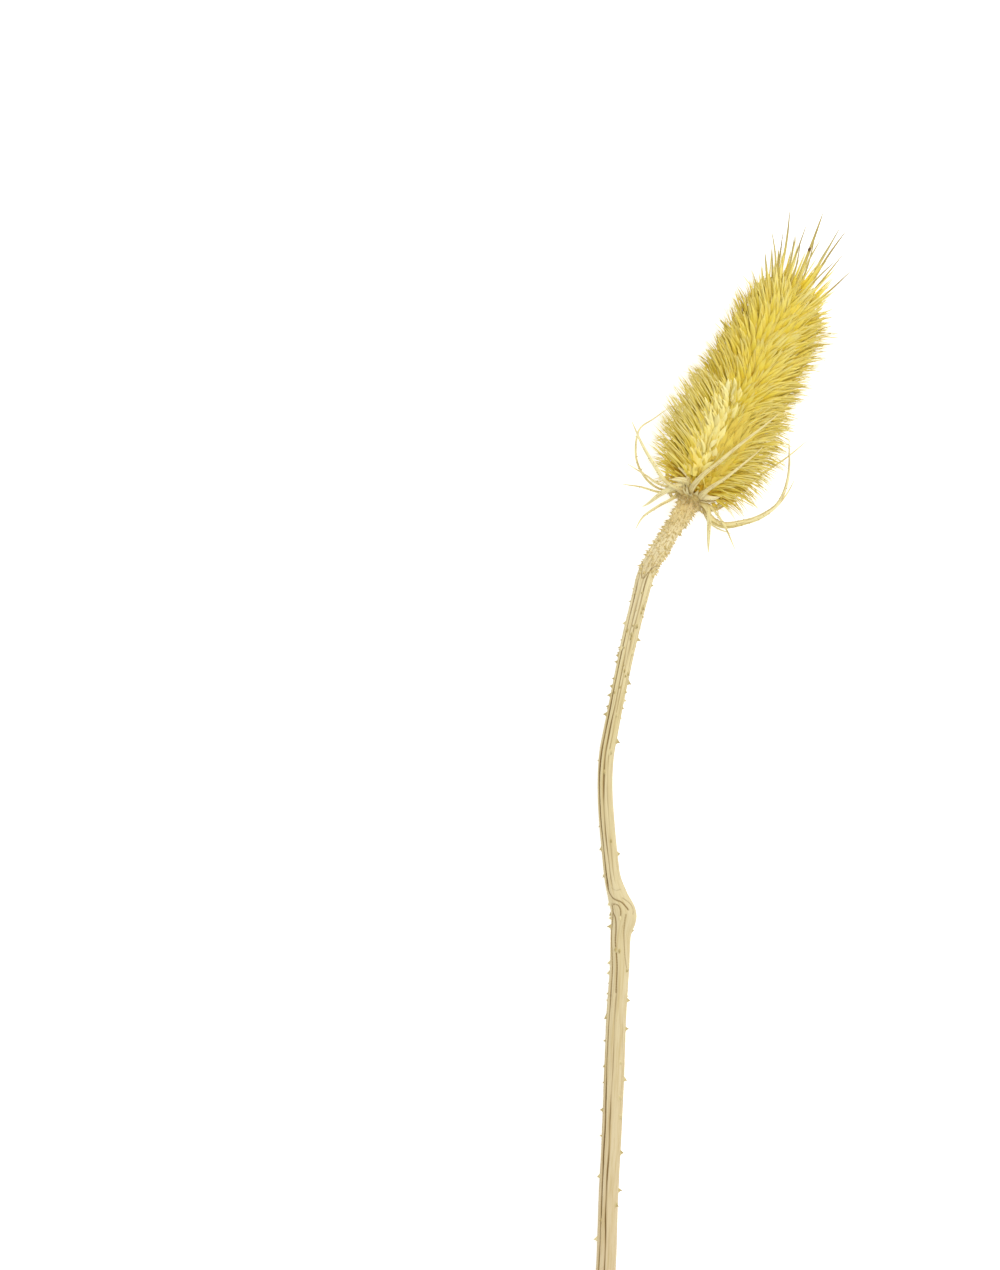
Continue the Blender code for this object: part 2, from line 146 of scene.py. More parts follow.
# Long bracts of the collar: half width at the root, then points along, across and above the head's axis (mm).
LONG_BRACTS = {
    "front_right": (0.72, [
        (0, -1.6, 4.6), (2, -1.9, 11.5), (6.2, -0.9, 18.4), (12.7, 2.2, 21.6), (21.8, 6.3, 22.4),
        (30.9, 10.8, 21.6), (37.5, 13.8, 20)]),
    "front_low_right": (0.6, [
        (0, 2.2, 4), (0.8, 2.2, 9.5), (4, 3.6, 16), (9.9, 7.2, 20), (20.3, 12.1, 20), (25, 13.8, 19)]),
    "right_behind": (0.56, [
        (0, 4, -1.6), (-0.8, 8.5, -6), (6, 13, -10), (14.5, 16.3, -10), (21.5, 20.2, -8.5), (28, 24, -7),
        (36.1, 27.7, -5)]),
    "right_arch": (0.91, [
        (0, 4.2, 0.4), (-1.9, 5.8, 1), (-3.9, 10.3, 1.2), (-3.5, 14.4, 1.4), (0.5, 20.2, 1.5),
        (4.4, 24.1, 1.4), (10.3, 27.5, 1.2), (17, 27.7, 0.8), (24.2, 25.7, 0.4), (33, 21.4, 0)]),
    "right_arch_low": (0.56, [
        (0, 4, -0.9), (-4.4, 9.5, -2), (-4.2, 15, -4), (0.8, 21.5, -5), (5, 25.3, -5.4), (10.3, 28, -5.5),
        (16.2, 29.4, -5.3), (21.8, 29.6, -5)]),
    "reflexed_right": (0.9, [(0, 3.6, 2.6), (-3, 7.4, 5), (-9, 10.2, 4.5), (-15.5, 13.4, 1.5)]),
    "reflexed_far_right": (0.49, [(0, 4.3, 1.6), (-1.6, 9, 4), (-4.8, 14.6, 3.5), (-10.2, 21.6, -1)]),
    "reflexed_thin": (0.42, [(0, 3.7, -2.4), (-4, 7.5, -5), (-5.4, 12, -8), (-4.8, 18.4, -11)]),
    "left_hook": (1.21, [
        (1.4, -1.4, 5), (2.7, -4.2, 6.6), (-0.5, -7.6, 5.8), (-4.3, -10.6, 3.4), (-9, -13.1, 0),
        (-10.8, -14.4, -1.6)]),
    "left_low": (0.6, [
        (0, -4.2, -1), (-4.2, -6.6, -2.2), (-7.8, -9.3, -4), (-13.3, -12.4, -8), (-18.3, -12.9, -11.5)]),
    "left_arch": (0.84, [
        (0, -3, 3.2), (-0.4, -10.5, 10), (2.7, -16.7, 12), (7.7, -24.2, 12), (13.9, -31.3, 10)]),
    "left_spread": (0.525, [(0, -4.2, 1.2), (-1.4, -13.1, 3.5), (-0.8, -18, 4.6), (0, -26, 5)]),
    "left_spread_low": (0.42, [(0, -4.3, 0.2), (-3.4, -11, -1.5), (-4.6, -18, -3.4), (-6.4, -24.3, -6)]),
    "left_round": (0.455, [
        (0, -4.3, -0.6), (-2.4, -12, -1.5), (-0.6, -18.6, -2.5), (4.4, -24.1, -2.6), (12.9, -27.1, -2),
        (18.9, -24.2, -1), (25.4, -20.6, 0)]),
    "foot_left": (1.5, [(3.2, -1.6, 6.4), (3.3, -4, 7.8), (2.6, -7, 8.4), (1.4, -9.8, 8)]),
    "foot_left_high": (1.2, [(3.4, -2.2, 7), (5.2, -4.6, 8.8), (6, -7.2, 9.4), (6.2, -9.4, 9.2)]),
    "foot_right": (1.1, [(1.6, 1.2, 6.2), (1.2, 3.4, 7.6), (1.8, 6, 8.4), (3.4, 8.4, 8.6)]),
    "under_right": (0.7, [
        (0, 2.4, -3.7), (-2.4, 5.5, -10), (3, 10, -14.6), (13, 14, -16), (25, 16.5, -15.8)]),
    "under_left": (0.7, [
        (0, -2.6, -3.6), (-2.4, -6, -10), (3, -10.5, -14.8), (12, -14, -16), (23, -15.5, -15.8)]),
    "under_stem": (0.63, [(0, 0, -4.4), (-3, -0.3, -9.5), (-8.4, -0.9, -14), (-17.5, -1.8, -16.3)]),
}
# How far a bract twists in degrees and how long its broad foot is, in front and elsewhere.
FRONT_TWIST = 12
BRACT_TWIST = 38
FRONT_FOOT = 14 * MM
BRACT_FOOT = 2.5 * MM

# The collar's radius, the short feet in it and where they start, its bristles, and how far all prickles are
# sunk and lean over.
COLLAR_RADIUS = 5.0 * MM
BRACT_FEET = 34
FEET_RADIUS = 4.4 * MM
COLLAR_BRISTLES = 260
SPIKE_SUNK = 0.25 * MM
SPIKE_LEAN = 0.35

# How close over the floor low points start to be pressed flat, for each kind.
FLOOR_SOFTNESS = 1.2 * MM
BRACT_SOFTNESS = 0.6 * MM
SPIKE_SOFTNESS = 0.4 * MM
STEM_SOFTNESS = 0.3 * MM

# Mesh detail: rings along the strands of each kind, steps between the points of a line, and the angle in
# degrees from which faces meet at an edge.
SCALE_RINGS = 10
BLADE_RINGS = 9
ARC_RINGS = 12
FINE_RINGS = 7
TUFT_RINGS = 14
FOOT_RINGS = 9
CORE_RINGS = 60
CORE_SIDES = 64
COLLAR_RINGS = 12
COLLAR_SIDES = 96
LINE_STEPS = 24
FOLD_ANGLE = 50

# Stem: centre line with its radius, from the cut end to the collar (x, y, z, radius), in millimetres.
STEM_ROUTE = [
    (-39.7, -189, 4.3, 3.45), (-38.9, -175, 4.3, 3.45), (-38.2, -154, 4.3, 3.4), (-37.1, -133, 4.3, 3.4),
    (-36.2, -112, 4.3, 3.5), (-35.4, -91, 4.3, 3.45), (-34.3, -73.5, 4.4, 3.45), (-33.9, -62, 4.7, 3.6),
    (-33, -54.6, 5, 4.3), (-34.9, -48.4, 5.1, 3.6), (-36.7, -42, 5.1, 2.9), (-37.6, -35, 5.4, 2.7),
    (-38.8, -22.8, 6.4, 2.7), (-39.5, -10.5, 7.7, 2.6), (-39.1, 0.7, 8.9, 2.6), (-37.6, 9.6, 9.8, 2.6),
    (-35.4, 21, 11, 2.5), (-32.6, 35, 12.6, 2.6), (-30.2, 46, 13.7, 2.7), (-27.7, 56, 14.7, 2.85),
    (-25.6, 64.2, 15.5, 3), (-23.2, 69.4, 16.1, 3), (-18.6, 77, 16.9, 2.95), (-13.6, 84.6, 17.7, 3.1),
]
STEM_TOP_RADIUS = 3.9
STEM_INTO_HEAD = 1.0 * MM
STEM_SPACING = 0.46 * MM
STEM_SIDES = 144

# Grooves of the stem: angle round it in degrees (0 right, 90 up to the camera, 180 left), half width in
# degrees, and depth as a share of the radius low on the stem, above the knot and near the head.
STEM_GROOVES = [
    (170, 6, 0.20, 0.14, 0.12), (141, 8, 0.27, 0.30, 0.21), (104, 6, 0.17, 0.13, 0.20),
    (76, 5, 0.05, 0.08, 0.17), (44, 6, 0.05, 0.07, 0.08), (20, 6, 0.06, 0.06, 0.09),
    (-8, 7, 0.15, 0.16, 0.16), (-34, 6, 0.10, 0.12, 0.15), (-60, 7, 0.17, 0.15, 0.16),
    (-88, 6, 0.12, 0.14, 0.15), (-112, 7, 0.18, 0.16, 0.16), (-140, 6, 0.12, 0.14, 0.15),
    (-163, 6, 0.10, 0.12, 0.14),
]
# Furrow depth, as a share of the radius, from which a furrow's painted shade is full.
FURROW_DEPTH = 0.15

# Creases of the knot and of the sheath's edge under the neck: depth and half width in millimetres, how
# dark their painted shade is, then points as (angle round the stem, y in mm).
STEM_CREASES = [
    (0.42, 0.26, 0.9, [(143, -41), (146, -44.6), (128, -47.7), (104, -49.2), (83, -50.3), (64, -53.1)]),
    (0.15, 0.23, 0.4, [(112, -45), (93, -46), (61, -46.3)]),
    (0.34, 0.23, 0.8, [(137, -49.9), (109, -50.6), (101, -52.1), (104, -54.2), (107, -56.1)]),
    (0.40, 0.26, 0.9, [(148, -53), (136, -55.4), (123, -60.1), (123, -63.8), (118, -67), (108, -72.6),
    (104, -82)]),
    (0.34, 0.25, 0.8, [(142, -50.3), (157, -58.4), (154, -64.9), (139, -74.6), (144, -84)]),
    (0.30, 0.27, 0.6, [(79, -54.6), (83, -56.9), (72, -62.8), (60, -69.6), (40, -74.2), (8, -73.8)]),
    (0.26, 0.26, 0.5, [(69, -49.1), (49, -50.9), (35, -53.1), (42, -54.6)]),
    (0.36, 0.26, 0.8, [(175, 69), (140, 66.5), (108, 63.5), (84, 66), (50, 69), (10, 66)]),
]
LIP_SHARE = 0.5
MM_PER_DEGREE = 0.06

# Prickles that the photo shows on the stem: y in mm, angle round it, height in mm.
SEEN_PRICKLES = [
    (54, 53, 1.2), (47.5, 180, 0.9), (47.1, 63, 1.0), (44.1, 86, 1.0), (42.9, 2, 1.3), (42.9, 86, 0.9),
    (38.7, 149, 0.8), (37.9, 46, 1.1), (36.2, 178, 1.0), (34.1, 178, 1.0), (31.5, 80, 1.0), (30.6, 44, 1.1),
    (27.4, 2, 1.3), (25.3, 180, 0.9), (24.6, 34, 1.0), (22.2, 180, 1.2), (18.1, 180, 0.9), (15.8, 72, 1.0),
    (15.3, 180, 1.3), (6.8, 4, 1.3), (3, 61, 0.9), (-4.4, 99, 1.0), (-28.6, 72, 0.7), (-31.2, 180, 0.8),
    (-33.7, 4, 1.0), (-49.6, 168, 0.8), (-55.9, 107, 0.6), (-56.3, 180, 0.9), (-59.4, 12, 0.7),
    (-59.7, 172, 1.6), (-66.8, 120, 0.8), (-67.4, 95, 1.1), (-72.1, 180, 1.0), (-74.3, 46, 0.9),
    (-75.6, 180, 1.0), (-84.8, 4, 1.2), (-91.1, 178, 1.0), (-94.7, 8, 1.2), (-107, 57, 0.9),
    (-108.3, 162, 1.0), (-112.6, 4, 1.1), (-119.1, 52, 1.0), (-123.8, 178, 1.0), (-126.3, 39, 0.8),
    (-138.3, 4, 1.1), (-147.2, 172, 1.0), (-151.7, 2, 1.3), (-156.9, 37, 1.2), (-162.2, 140, 0.8),
    (-169.2, 180, 1.3),
]
SEEN_PRICKLE_STRETCH = 1.15
PRICKLES = 150
BRISTLES = 420
BRISTLES_FROM_Y = 65.0

# Colours of awns and scales, as 8-bit red, green and blue: stops from root to tip, then the tint of the paler
# ones, of the darker ones and of their lines.
AWN_COLOURS = {
    "yellow_scales": (
        ((0.0, (232, 184, 34)), (0.3, (243, 212, 56)), (0.6, (240, 219, 80)), (1.0, (231, 217, 138))),
        (246, 234, 148), (214, 182, 58), (204, 166, 52)),
    "yellow_fine": (
        ((0.0, (236, 194, 40)), (0.35, (243, 219, 68)), (0.7, (242, 224, 100)), (1.0, (238, 228, 172))),
        (248, 238, 166), (226, 194, 70), (210, 178, 70)),
    "cream_scales": (
        ((0.0, (246, 228, 104)), (0.5, (250, 238, 150)), (1.0, (252, 242, 172))),
        (252, 248, 200), (240, 214, 96), (226, 186, 84)),
    "ochre_blades": (
        ((0.0, (226, 196, 76)), (0.5, (228, 204, 90)), (1.0, (232, 212, 104))),
        (240, 224, 128), (212, 182, 72), (202, 170, 66)),
    "straw_tuft": (
        ((0.0, (236, 216, 96)), (0.4, (218, 202, 116)), (0.7, (178, 162, 104)), (1.0, (146, 130, 88))),
        (240, 228, 160), (156, 126, 70), (146, 108, 58)),
}
# Colours of prickles: foot, middle and tip, and how much paler some of them are.
PRICKLE_COLOURS = {
    "prickle_tan": ((218, 204, 156), (194, 178, 124), (154, 136, 90), 0.8),
    "bristle_cream": ((228, 214, 162), (214, 196, 138), (182, 160, 104), 0.8),
    "scab_brown": ((120, 84, 50), (84, 52, 34), (60, 36, 26), 0.0),
}

# Room and light: the floor's half size in metres, how bright the table under the part is next to a white
# surface, how bright the room is, the lamp's place, target and size in metres and its watts, and how much all
# surfaces shine.
FLOOR_HALF = 2.5
TABLE_GLOW = 0.6
ROOM_GLOW = 0.6
LAMP_PLACE = Vector((0.36, 0.35, 1.93))
LAMP_TARGET = Vector((0, 0.04, 0))
LAMP_SIZE = 1.0
LAMP_POWER = 21
SHINE = 0.2

# Camera over the part, looking straight down at the middle of the photograph's frame.
MM_PER_PIXEL = 0.35
FRAME_CENTRE = ((500 - 718.5) * MM_PER_PIXEL * MM, (760 - 635) * MM_PER_PIXEL * MM)
FRAME_LONG_SIDE = 1270 * MM_PER_PIXEL * MM
FOCUS_HEIGHT = 16.0 * MM
CAMERA_DISTANCE = 1.5
SENSOR_WIDTH = 36

rng = np.random.default_rng(SEED)


def unit(vectors):
    """The vectors along the last axis, each made one long."""
    return vectors / np.maximum(np.linalg.norm(vectors, axis=-1, keepdims=True), 1e-12)


ALONG = unit(HEAD_TIP - HEAD_BASE)
ACROSS = unit(np.cross(ALONG, [0, 0, 1]))
ABOVE = np.cross(ACROSS, ALONG)


def head_points(rows):
    """Points given in millimetres along the head's axis, across it and above it."""
    return HEAD_BASE + np.asarray(rows, float) * MM @ np.array([ALONG, ACROSS, ABOVE])


def away_from_axis(turns):
    """Directions straight out from the head's axis."""
    return np.cos(turns)[..., None] * ACROSS + np.sin(turns)[..., None] * ABOVE


def over_floor(points, softness=FLOOR_SOFTNESS):
    """The points, those near or below the floor pressed flat just over it."""
    height = points[..., 2]
    flat = softness * np.exp(np.minimum(height / softness - 1, 0))
    pressed = points.copy()
    pressed[..., 2] = np.where(height < softness, flat, height)
    return pressed


def at_share(table, shares):
    """Values of a table of (share, value) rows at these shares."""
    return np.interp(shares, *zip(*table))


def spiral(count, start, spread):
    """Turns that follow a golden spiral, each a little off it."""
    return np.arange(count) * GOLDEN_ANGLE + start + rng.normal(0, spread, count)


# Mesh making


def walked_along(points):
    """How far along a line each of its points is."""
    return np.concatenate([[0], np.cumsum(np.linalg.norm(np.diff(points, axis=0), axis=1))])


def smooth_line(rows, spacing):
    """Rows at even spacing on a Catmull-Rom curve through the given ones, whose extra columns come along."""
    rows = np.array(rows, float)
    rows = np.vstack([2 * rows[0] - rows[1], rows, 2 * rows[-1] - rows[-2]])
    t = np.linspace(0, 1, LINE_STEPS, endpoint=False)[:, None]
    fine = []
    for a, b, c, d in zip(rows, rows[1:], rows[2:], rows[3:]):
        bend = (2 * a - 5 * b + 4 * c - d) * t**2 + (3 * b - a - 3 * c + d) * t**3
        fine.append(0.5 * (2 * b + (c - a) * t + bend))
    fine = np.vstack([*fine, rows[-2]])
    walked = walked_along(fine[:, :3])
    wanted = np.linspace(0, walked[-1], max(2, round(walked[-1] / spacing)) + 1)
    return np.array([np.interp(wanted, walked, column) for column in fine.T]).T


def frames_along(points, first_side):
    """Direction and side at each point of a line, turning as little as they can."""
    ahead = unit(np.gradient(points, axis=0))
    side = np.asarray(first_side, float)
    sides = []
    for direction in ahead:
        side = unit(side - direction * side.dot(direction))
        sides.append(side)
    return ahead, np.array(sides)


def tube_faces(strands, rings, around):
    """Quads of many tubes at once, and the polygons that close both ends of each."""
    first = np.arange(strands)[:, None, None] * rings * around
    ring = first + np.arange(rings - 1)[:, None] * around
    turn = np.arange(around)
    after = (turn + 1) % around
    quads = np.stack([ring + turn, ring + after, ring + around + after, ring + around + turn], axis=-1)
    ends = first[:, 0]
    return quads.reshape(-1, 4), np.vstack([ends + turn[::-1], ends + (rings - 1) * around + turn])


def make_piece(name, points, material, replaced=None, grain=None, uv=None):
    """A mesh object of the object's own, riding on its body: tubes, with their points by strand, ring and
    turn."""
    mesh = bpy.data.meshes.new(name)
    polygons = tube_faces(*points.shape[:3])
    points = points.reshape(-1, 3)
    mesh.from_pydata(points.tolist(), [], [polygon for kind in polygons for polygon in kind.tolist()])
    corners = np.concatenate([kind.ravel() for kind in polygons])
    if grain is not None:
        colours = np.ones((len(points), 4), np.float32)
        colours[:, :3] = grain.reshape(-1, 3)
        layer = mesh.color_attributes.new("grain", "FLOAT_COLOR", "POINT")
        layer.data.foreach_set("color", colours.ravel())
    if uv is not None:
        layer = mesh.uv_layers.new(name="UVMap")
        layer.data.foreach_set("uv", uv.reshape(-1, 2)[corners].astype(np.float32).ravel())
    mesh.validate()
    mesh.shade_smooth()
    mesh.set_sharp_from_angle(angle=math.radians(FOLD_ANGLE))
    mesh.materials.append(material)
    made = bpy.data.objects.new(name, mesh)
    bpy.context.scene.collection.objects.link(made)
    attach(made, "root")
    if replaced:
        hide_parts(replaced)


def round_section(around, depth=1.0):
    """Corners of a round or oval cross section."""
    turns = np.linspace(0, 2 * math.pi, around, endpoint=False)
    return np.column_stack([np.cos(turns), depth * np.sin(turns)])


def make_strands(name, lines, widths, thick, section, shades, material, lengths=None, apart=None,
                 replaced=None, softness=FLOOR_SOFTNESS):
    """A piece of many strands: a section carried along centre lines with their sides and backs. The shades
    are how far along each ring is, and two random values of each strand. Given lengths, the strands get
    texture places in millimetres, each apart from the others."""
    centres, sides, backs = lines
    section = np.array(section, float)
    across = sides[:, :, None] * (widths[..., None] * section[:, 0])[..., None]
    deep = backs[:, :, None] * (thick[..., None] * section[:, 1])[..., None]
    points = over_floor(centres[:, :, None] + across + deep, softness)
    grain = np.empty_like(points)
    grain[..., 0] = shades[0][:, None]
    grain[..., 1] = shades[1][:, None, None]
    grain[..., 2] = shades[2][:, None, None]
    uv = None
    if lengths is not None:
        strands, rings = widths.shape
        apart = rng.uniform(0, 400, (strands, 2)) if apart is None else apart
        uv = np.empty((strands, rings, len(section), 2))
        uv[..., 0] = widths[..., None] / MM * section[:, 0] + apart[:, :1, None]
        uv[..., 1] = (lengths[:, None] / MM * np.linspace(0, 1, rings) + apart[:, 1:])[..., None]
    make_piece(name, points, material, replaced, grain, uv)


# Materials


def srgb(red, green, blue):
    """Linear colour, with alpha, of an 8-bit screen colour."""
    def linear(value):
        value /= 255
        return value / 12.92 if value <= 0.04045 else ((value + 0.055) / 1.055) ** 2.4
    return (linear(red), linear(green), linear(blue), 1)


def node(tree, kind, **settings):
    """A shader node with its settings and inputs set. An input that is given as a socket is linked to it."""
    made = tree.nodes.new(kind)
    for name, value in settings.items():
        if name not in made.inputs:
            setattr(made, name, value)
        elif isinstance(value, bpy.types.NodeSocket):
            tree.links.new(value, made.inputs[name])
        else:
            made.inputs[name].default_value = value
    return made


def ramp(tree, source, stops):
    """A colour ramp of (place, colour) stops fed by a socket."""
    made = node(tree, "ShaderNodeValToRGB", Fac=source)
    elements = made.color_ramp.elements
    while len(elements) < len(stops):
        elements.new(0.5)
    for element, (place, colour) in zip(elements, stops):
        element.position = place
        element.color = srgb(*colour)
    return made.outputs["Color"]


def mixed(tree, factor, first, second):
    """The mix of two colours, each a socket or an 8-bit colour, by the value of a socket."""
    made = node(tree, "ShaderNodeMix", data_type="RGBA")
    for socket, value in ((made.inputs[0], factor), (made.inputs[6], first), (made.inputs[7], second)):
        if isinstance(value, tuple):
            socket.default_value = srgb(*value)
        else:
            tree.links.new(value, socket)
    return made.outputs[2]


def ranged(tree, source, low, high, out_low=0.0, out_high=1.0):
    """The socket's value stretched from one range to another and clamped."""
    ends = {"From Min": low, "From Max": high, "To Min": out_low, "To Max": out_high}
    return node(tree, "ShaderNodeMapRange", Value=source, **ends).outputs["Result"]


def veiled(tree, under, over, source, low, high, most):
    """One colour over another, from none where the source is low to its most where it is high."""
    return mixed(tree, ranged(tree, source, low, high, 0.0, most), under, over)


def noise(tree, place, scale, detail, roughness=0.6):
    made = node(tree, "ShaderNodeTexNoise", Vector=place, Scale=scale, Detail=detail, Roughness=roughness)
    return made.outputs["Fac"]


def specks(tree, scale, detail):
    """Noise that is as fine in all directions."""
    return noise(tree, node(tree, "ShaderNodeTexCoord").outputs["Object"], scale, detail)


def fibres(tree, across, along, detail=3.0, roughness=0.6):
    """Noise with its own number of cells to a millimetre across a strand and along it."""
    place = node(tree, "ShaderNodeUVMap", uv_map="UVMap").outputs["UV"]
    drawn_out = node(tree, "ShaderNodeMapping", Vector=place, Scale=(across, along, 1)).outputs["Vector"]
    return noise(tree, drawn_out, 1.0, detail, roughness)


def grain_of(tree):
    """The three values of the grain attribute as sockets."""
    attribute = node(tree, "ShaderNodeAttribute", attribute_name="grain")
    return node(tree, "ShaderNodeSeparateColor", Color=attribute.outputs["Color"]).outputs


def new_material(name, roughness, sheen=0.0):
    """A material, its tree and its shader."""
    made = bpy.data.materials.new(name)
    made.use_nodes = True
    shader = made.node_tree.nodes["Principled BSDF"]
    shader.inputs["Roughness"].default_value = roughness
    shader.inputs["Specular IOR Level"].default_value = SHINE
    shader.inputs["Sheen Weight"].default_value = sheen
    return made, made.node_tree, shader


def coat(tree, shader, colour, height, strength, distance):
    """Gives the shader its colour, and a bump of this height."""
    tree.links.new(colour, shader.inputs["Base Color"])
    made = node(tree, "ShaderNodeBump", Height=height, Strength=strength, Distance=distance)
    tree.links.new(made.outputs["Normal"], shader.inputs["Normal"])


def awn_material(name):
    """Dry awns and scales: a colour from root to tip, each one a little different, with fine lines along
    it, and orange-brown spots of painted shade near the roots, deep between the awns."""
    made, tree, shader = new_material(name, 0.62)
    stops, pale, dark, line = AWN_COLOURS[name]
    along, first, second = grain_of(tree)
    lighter = veiled(tree, ramp(tree, along, stops), pale, first, 0.5, 1.0, 0.5)
    darker = veiled(tree, lighter, dark, second, 0.7, 1.0, 0.5)
    toned = veiled(tree, darker, (246, 222, 78), specks(tree, 90, 2.0), 0.35, 0.7, 0.3)
    lines = fibres(tree, 3.4, 0.16, 2.0)
    lined = veiled(tree, toned, line, lines, 0.5, 0.72, 0.3)
    # Painted shade: orange-brown spots on the lower part of each awn, deep in the head.
    root_shade_spots = ranged(tree, specks(tree, 420, 1.0), 0.65, 0.71)
    deep = mixed(tree, ranged(tree, along, 0.2, 0.45, 0.7, 0.0), (0, 0, 0), root_shade_spots)
    coat(tree, shader, mixed(tree, deep, lined, (196, 124, 44)), lines, 0.25, 0.0002)
    return made


def head_core_material():
    made, tree, shader = new_material("core_ochre", 0.8)
    dots = specks(tree, 700, 4.0)
    colour = ramp(tree, dots, [(0.3, (214, 166, 42)), (0.55, (230, 192, 56)), (0.75, (242, 214, 78))])
    coat(tree, shader, colour, dots, 0.6, 0.0004)
    return made


def stem_material():
    """Dry straw: pale ribs with long fibres, painted shade in the furrows and creases, faint brown marks, and
    the neck's pits and the top under the collar darkened as painted shade.
    """
    made, tree, shader = new_material("straw_stem", 0.68, 0.1)
    depth, height, neck = grain_of(tree)
    # Paler up the stem; the brown at its very top is painted shade under the collar.
    base = ramp(tree, height, [
        (0.0, (213, 192, 151)), (0.5, (220, 204, 156)), (0.72, (222, 206, 153)), (0.95, (240, 226, 178)),
        (0.98, (232, 208, 138)), (1.0, (200, 164, 90)),
    ])
    lines = fibres(tree, 1.5, 0.06, 4.0)
    toned = veiled(tree, base, (230, 216, 180), fibres(tree, 0.5, 0.03), 0.35, 0.7, 0.5)
    lined = veiled(tree, toned, (196, 172, 114), lines, 0.46, 0.66, 0.6)
    # Painted shade: furrows and creases darkened brown by how deep they are.
    furrow = veiled(tree, lined, (130, 98, 42), depth, 0.12, 0.8, 0.95)
    marked = veiled(tree, furrow, (192, 150, 98), fibres(tree, 1.3, 0.5, 4.0, 0.7), 0.64, 0.76, 0.5)
    # Painted shade: brown specks over the neck for the shade in its small pits.
    pit_shade = veiled(tree, marked, (180, 144, 76), fibres(tree, 1.5, 1.2, 2.0), 0.55, 0.63, 0.7)
    coat(tree, shader, mixed(tree, neck, marked, pit_shade), lines, 0.35, 0.0003)
    return made


def prickle_material(name):
    """Prickles: a colour from foot to tip, some of them paler, with small brown clouds."""
    made, tree, shader = new_material(name, 0.6)
    foot, middle, tip, paler = PRICKLE_COLOURS[name]
    along, first, _second = grain_of(tree)
    base = ramp(tree, along, [(0.0, foot), (0.4, middle), (1.0, tip)])
    pale = veiled(tree, base, (240, 228, 182), first, 0.5, 1.0, paler)
    clouds = specks(tree, 1500, 2.0)
    coat(tree, shader, veiled(tree, pale, (196, 162, 84), clouds, 0.4, 0.7, 0.35), clouds, 0.2, 0.0002)
    return made


def bract_material():
    """Long bracts: cream, fine lines along them, a few brown flecks."""
    made, tree, shader = new_material("pale_bract", 0.58, 0.1)
    along, first, second = grain_of(tree)
    stops = [(0.0, (208, 180, 100)), (0.12, (236, 222, 164)), (0.6, (247, 237, 186)), (1.0, (246, 236, 188))]
    yellower = veiled(tree, ramp(tree, along, stops), (243, 229, 148), first, 0.2, 1.0, 0.6)
    toned = veiled(tree, yellower, (234, 218, 152), second, 0.0, 1.0, 1.0)
    lines = fibres(tree, 2.4, 0.16, 4.0)
    lined = veiled(tree, toned, (194, 164, 100), lines, 0.48, 0.66, 0.75)
    flecked = veiled(tree, lined, (176, 132, 70), fibres(tree, 2.2, 0.9, 3.0, 0.7), 0.68, 0.76, 0.5)
    coat(tree, shader, flecked, lines, 0.8, 0.0004)
    return made


def floor_material():
    made, tree, shader = new_material("pale_floor", 0.9)
    colour = ramp(tree, specks(tree, 3, 2.0), [(0.3, (224, 224, 224)), (0.7, (228, 228, 228))])
    tree.links.new(colour, shader.inputs["Base Color"])
    shader.inputs["Emission Color"].default_value = (1, 1, 1, 1)
    shader.inputs["Emission Strength"].default_value = TABLE_GLOW
    return made


# The seed head


def core_radius(share):
    """Radius of the core at shares of its length: a rounded barrel that narrows towards the top."""
    reach = 2 * (CORE_CUT + share * (1 - CORE_CUT)) - 1
    barrel = np.maximum(0.0, 1 - np.abs(reach) ** CORE_SQUARENESS) ** (1 / CORE_SQUARENESS)
    return CORE_RADIUS * (1 - CORE_TAPER * share) * barrel


def core_spots(shares, turns, inset):
    """Points on the core or within it, and the outward direction at each."""
    outward = away_from_axis(turns)
    axis = HEAD_BASE + (HEAD_START + shares * CORE_LENGTH)[..., None] * ALONG
    return axis + outward * (core_radius(shares) * inset)[..., None], outward


def even_shares(count):
    """Shares of the core's length that put equally much of its surface between one and the next."""
    shares = np.linspace(0.004, 0.999, 600)
    slopes = np.gradient(core_radius(shares), shares * CORE_LENGTH)
    covered = np.cumsum(core_radius(shares) * np.sqrt(1 + slopes**2))
    covered = (covered - covered[0]) / (covered[-1] - covered[0])
    return np.interp((np.arange(count) + 0.5) / count, covered, shares)


def grown(roots, steps, lengths, sideways):
    """Lines that grow from roots by unit steps: their points, sides and backs."""
    steps = steps * (lengths / steps.shape[1])[:, None, None]
    points = np.concatenate([roots[:, None], roots[:, None] + np.cumsum(steps, axis=1)], axis=1)
    ahead = unit(np.gradient(points, axis=1))
    sides = sideways[:, None] - ahead * np.sum(sideways[:, None] * ahead, axis=-1, keepdims=True)
    sides = unit(sides)
    return points, sides, np.cross(ahead, sides)


def curved_awns(shares, turns, lengths, tilts, recurves, rings, sway, lifts=0.0):
    """Lines of awns on the core, or lifted off it. Each starts tilted more to the head's tip than its mean
    tilt and bends outwards, by recurves in all. sway bends it sideways. Gives the lines and how far along
    each ring is."""
    roots, outward = core_spots(shares, turns, AWN_INSET)
    roots = roots + outward * np.reshape(lifts, (-1, 1))
    t = np.linspace(0, 1, rings)
    middle = (t[:-1] + t[1:]) / 2
    recurves = recurves * (1 - FRONT_STRAIGHTENING * np.clip(np.sin(turns), 0, 1))
    angles = tilts[:, None] + recurves[:, None] * (0.5 - middle)
    sideways = unit(np.cross(outward, ALONG))
    rising = np.cos(angles)[..., None] * outward[:, None] + np.sin(angles)[..., None] * ALONG
    steps = unit(rising + (2 * sway[:, None] * middle)[..., None] * sideways[:, None])
    return grown(roots, steps, lengths, sideways), t


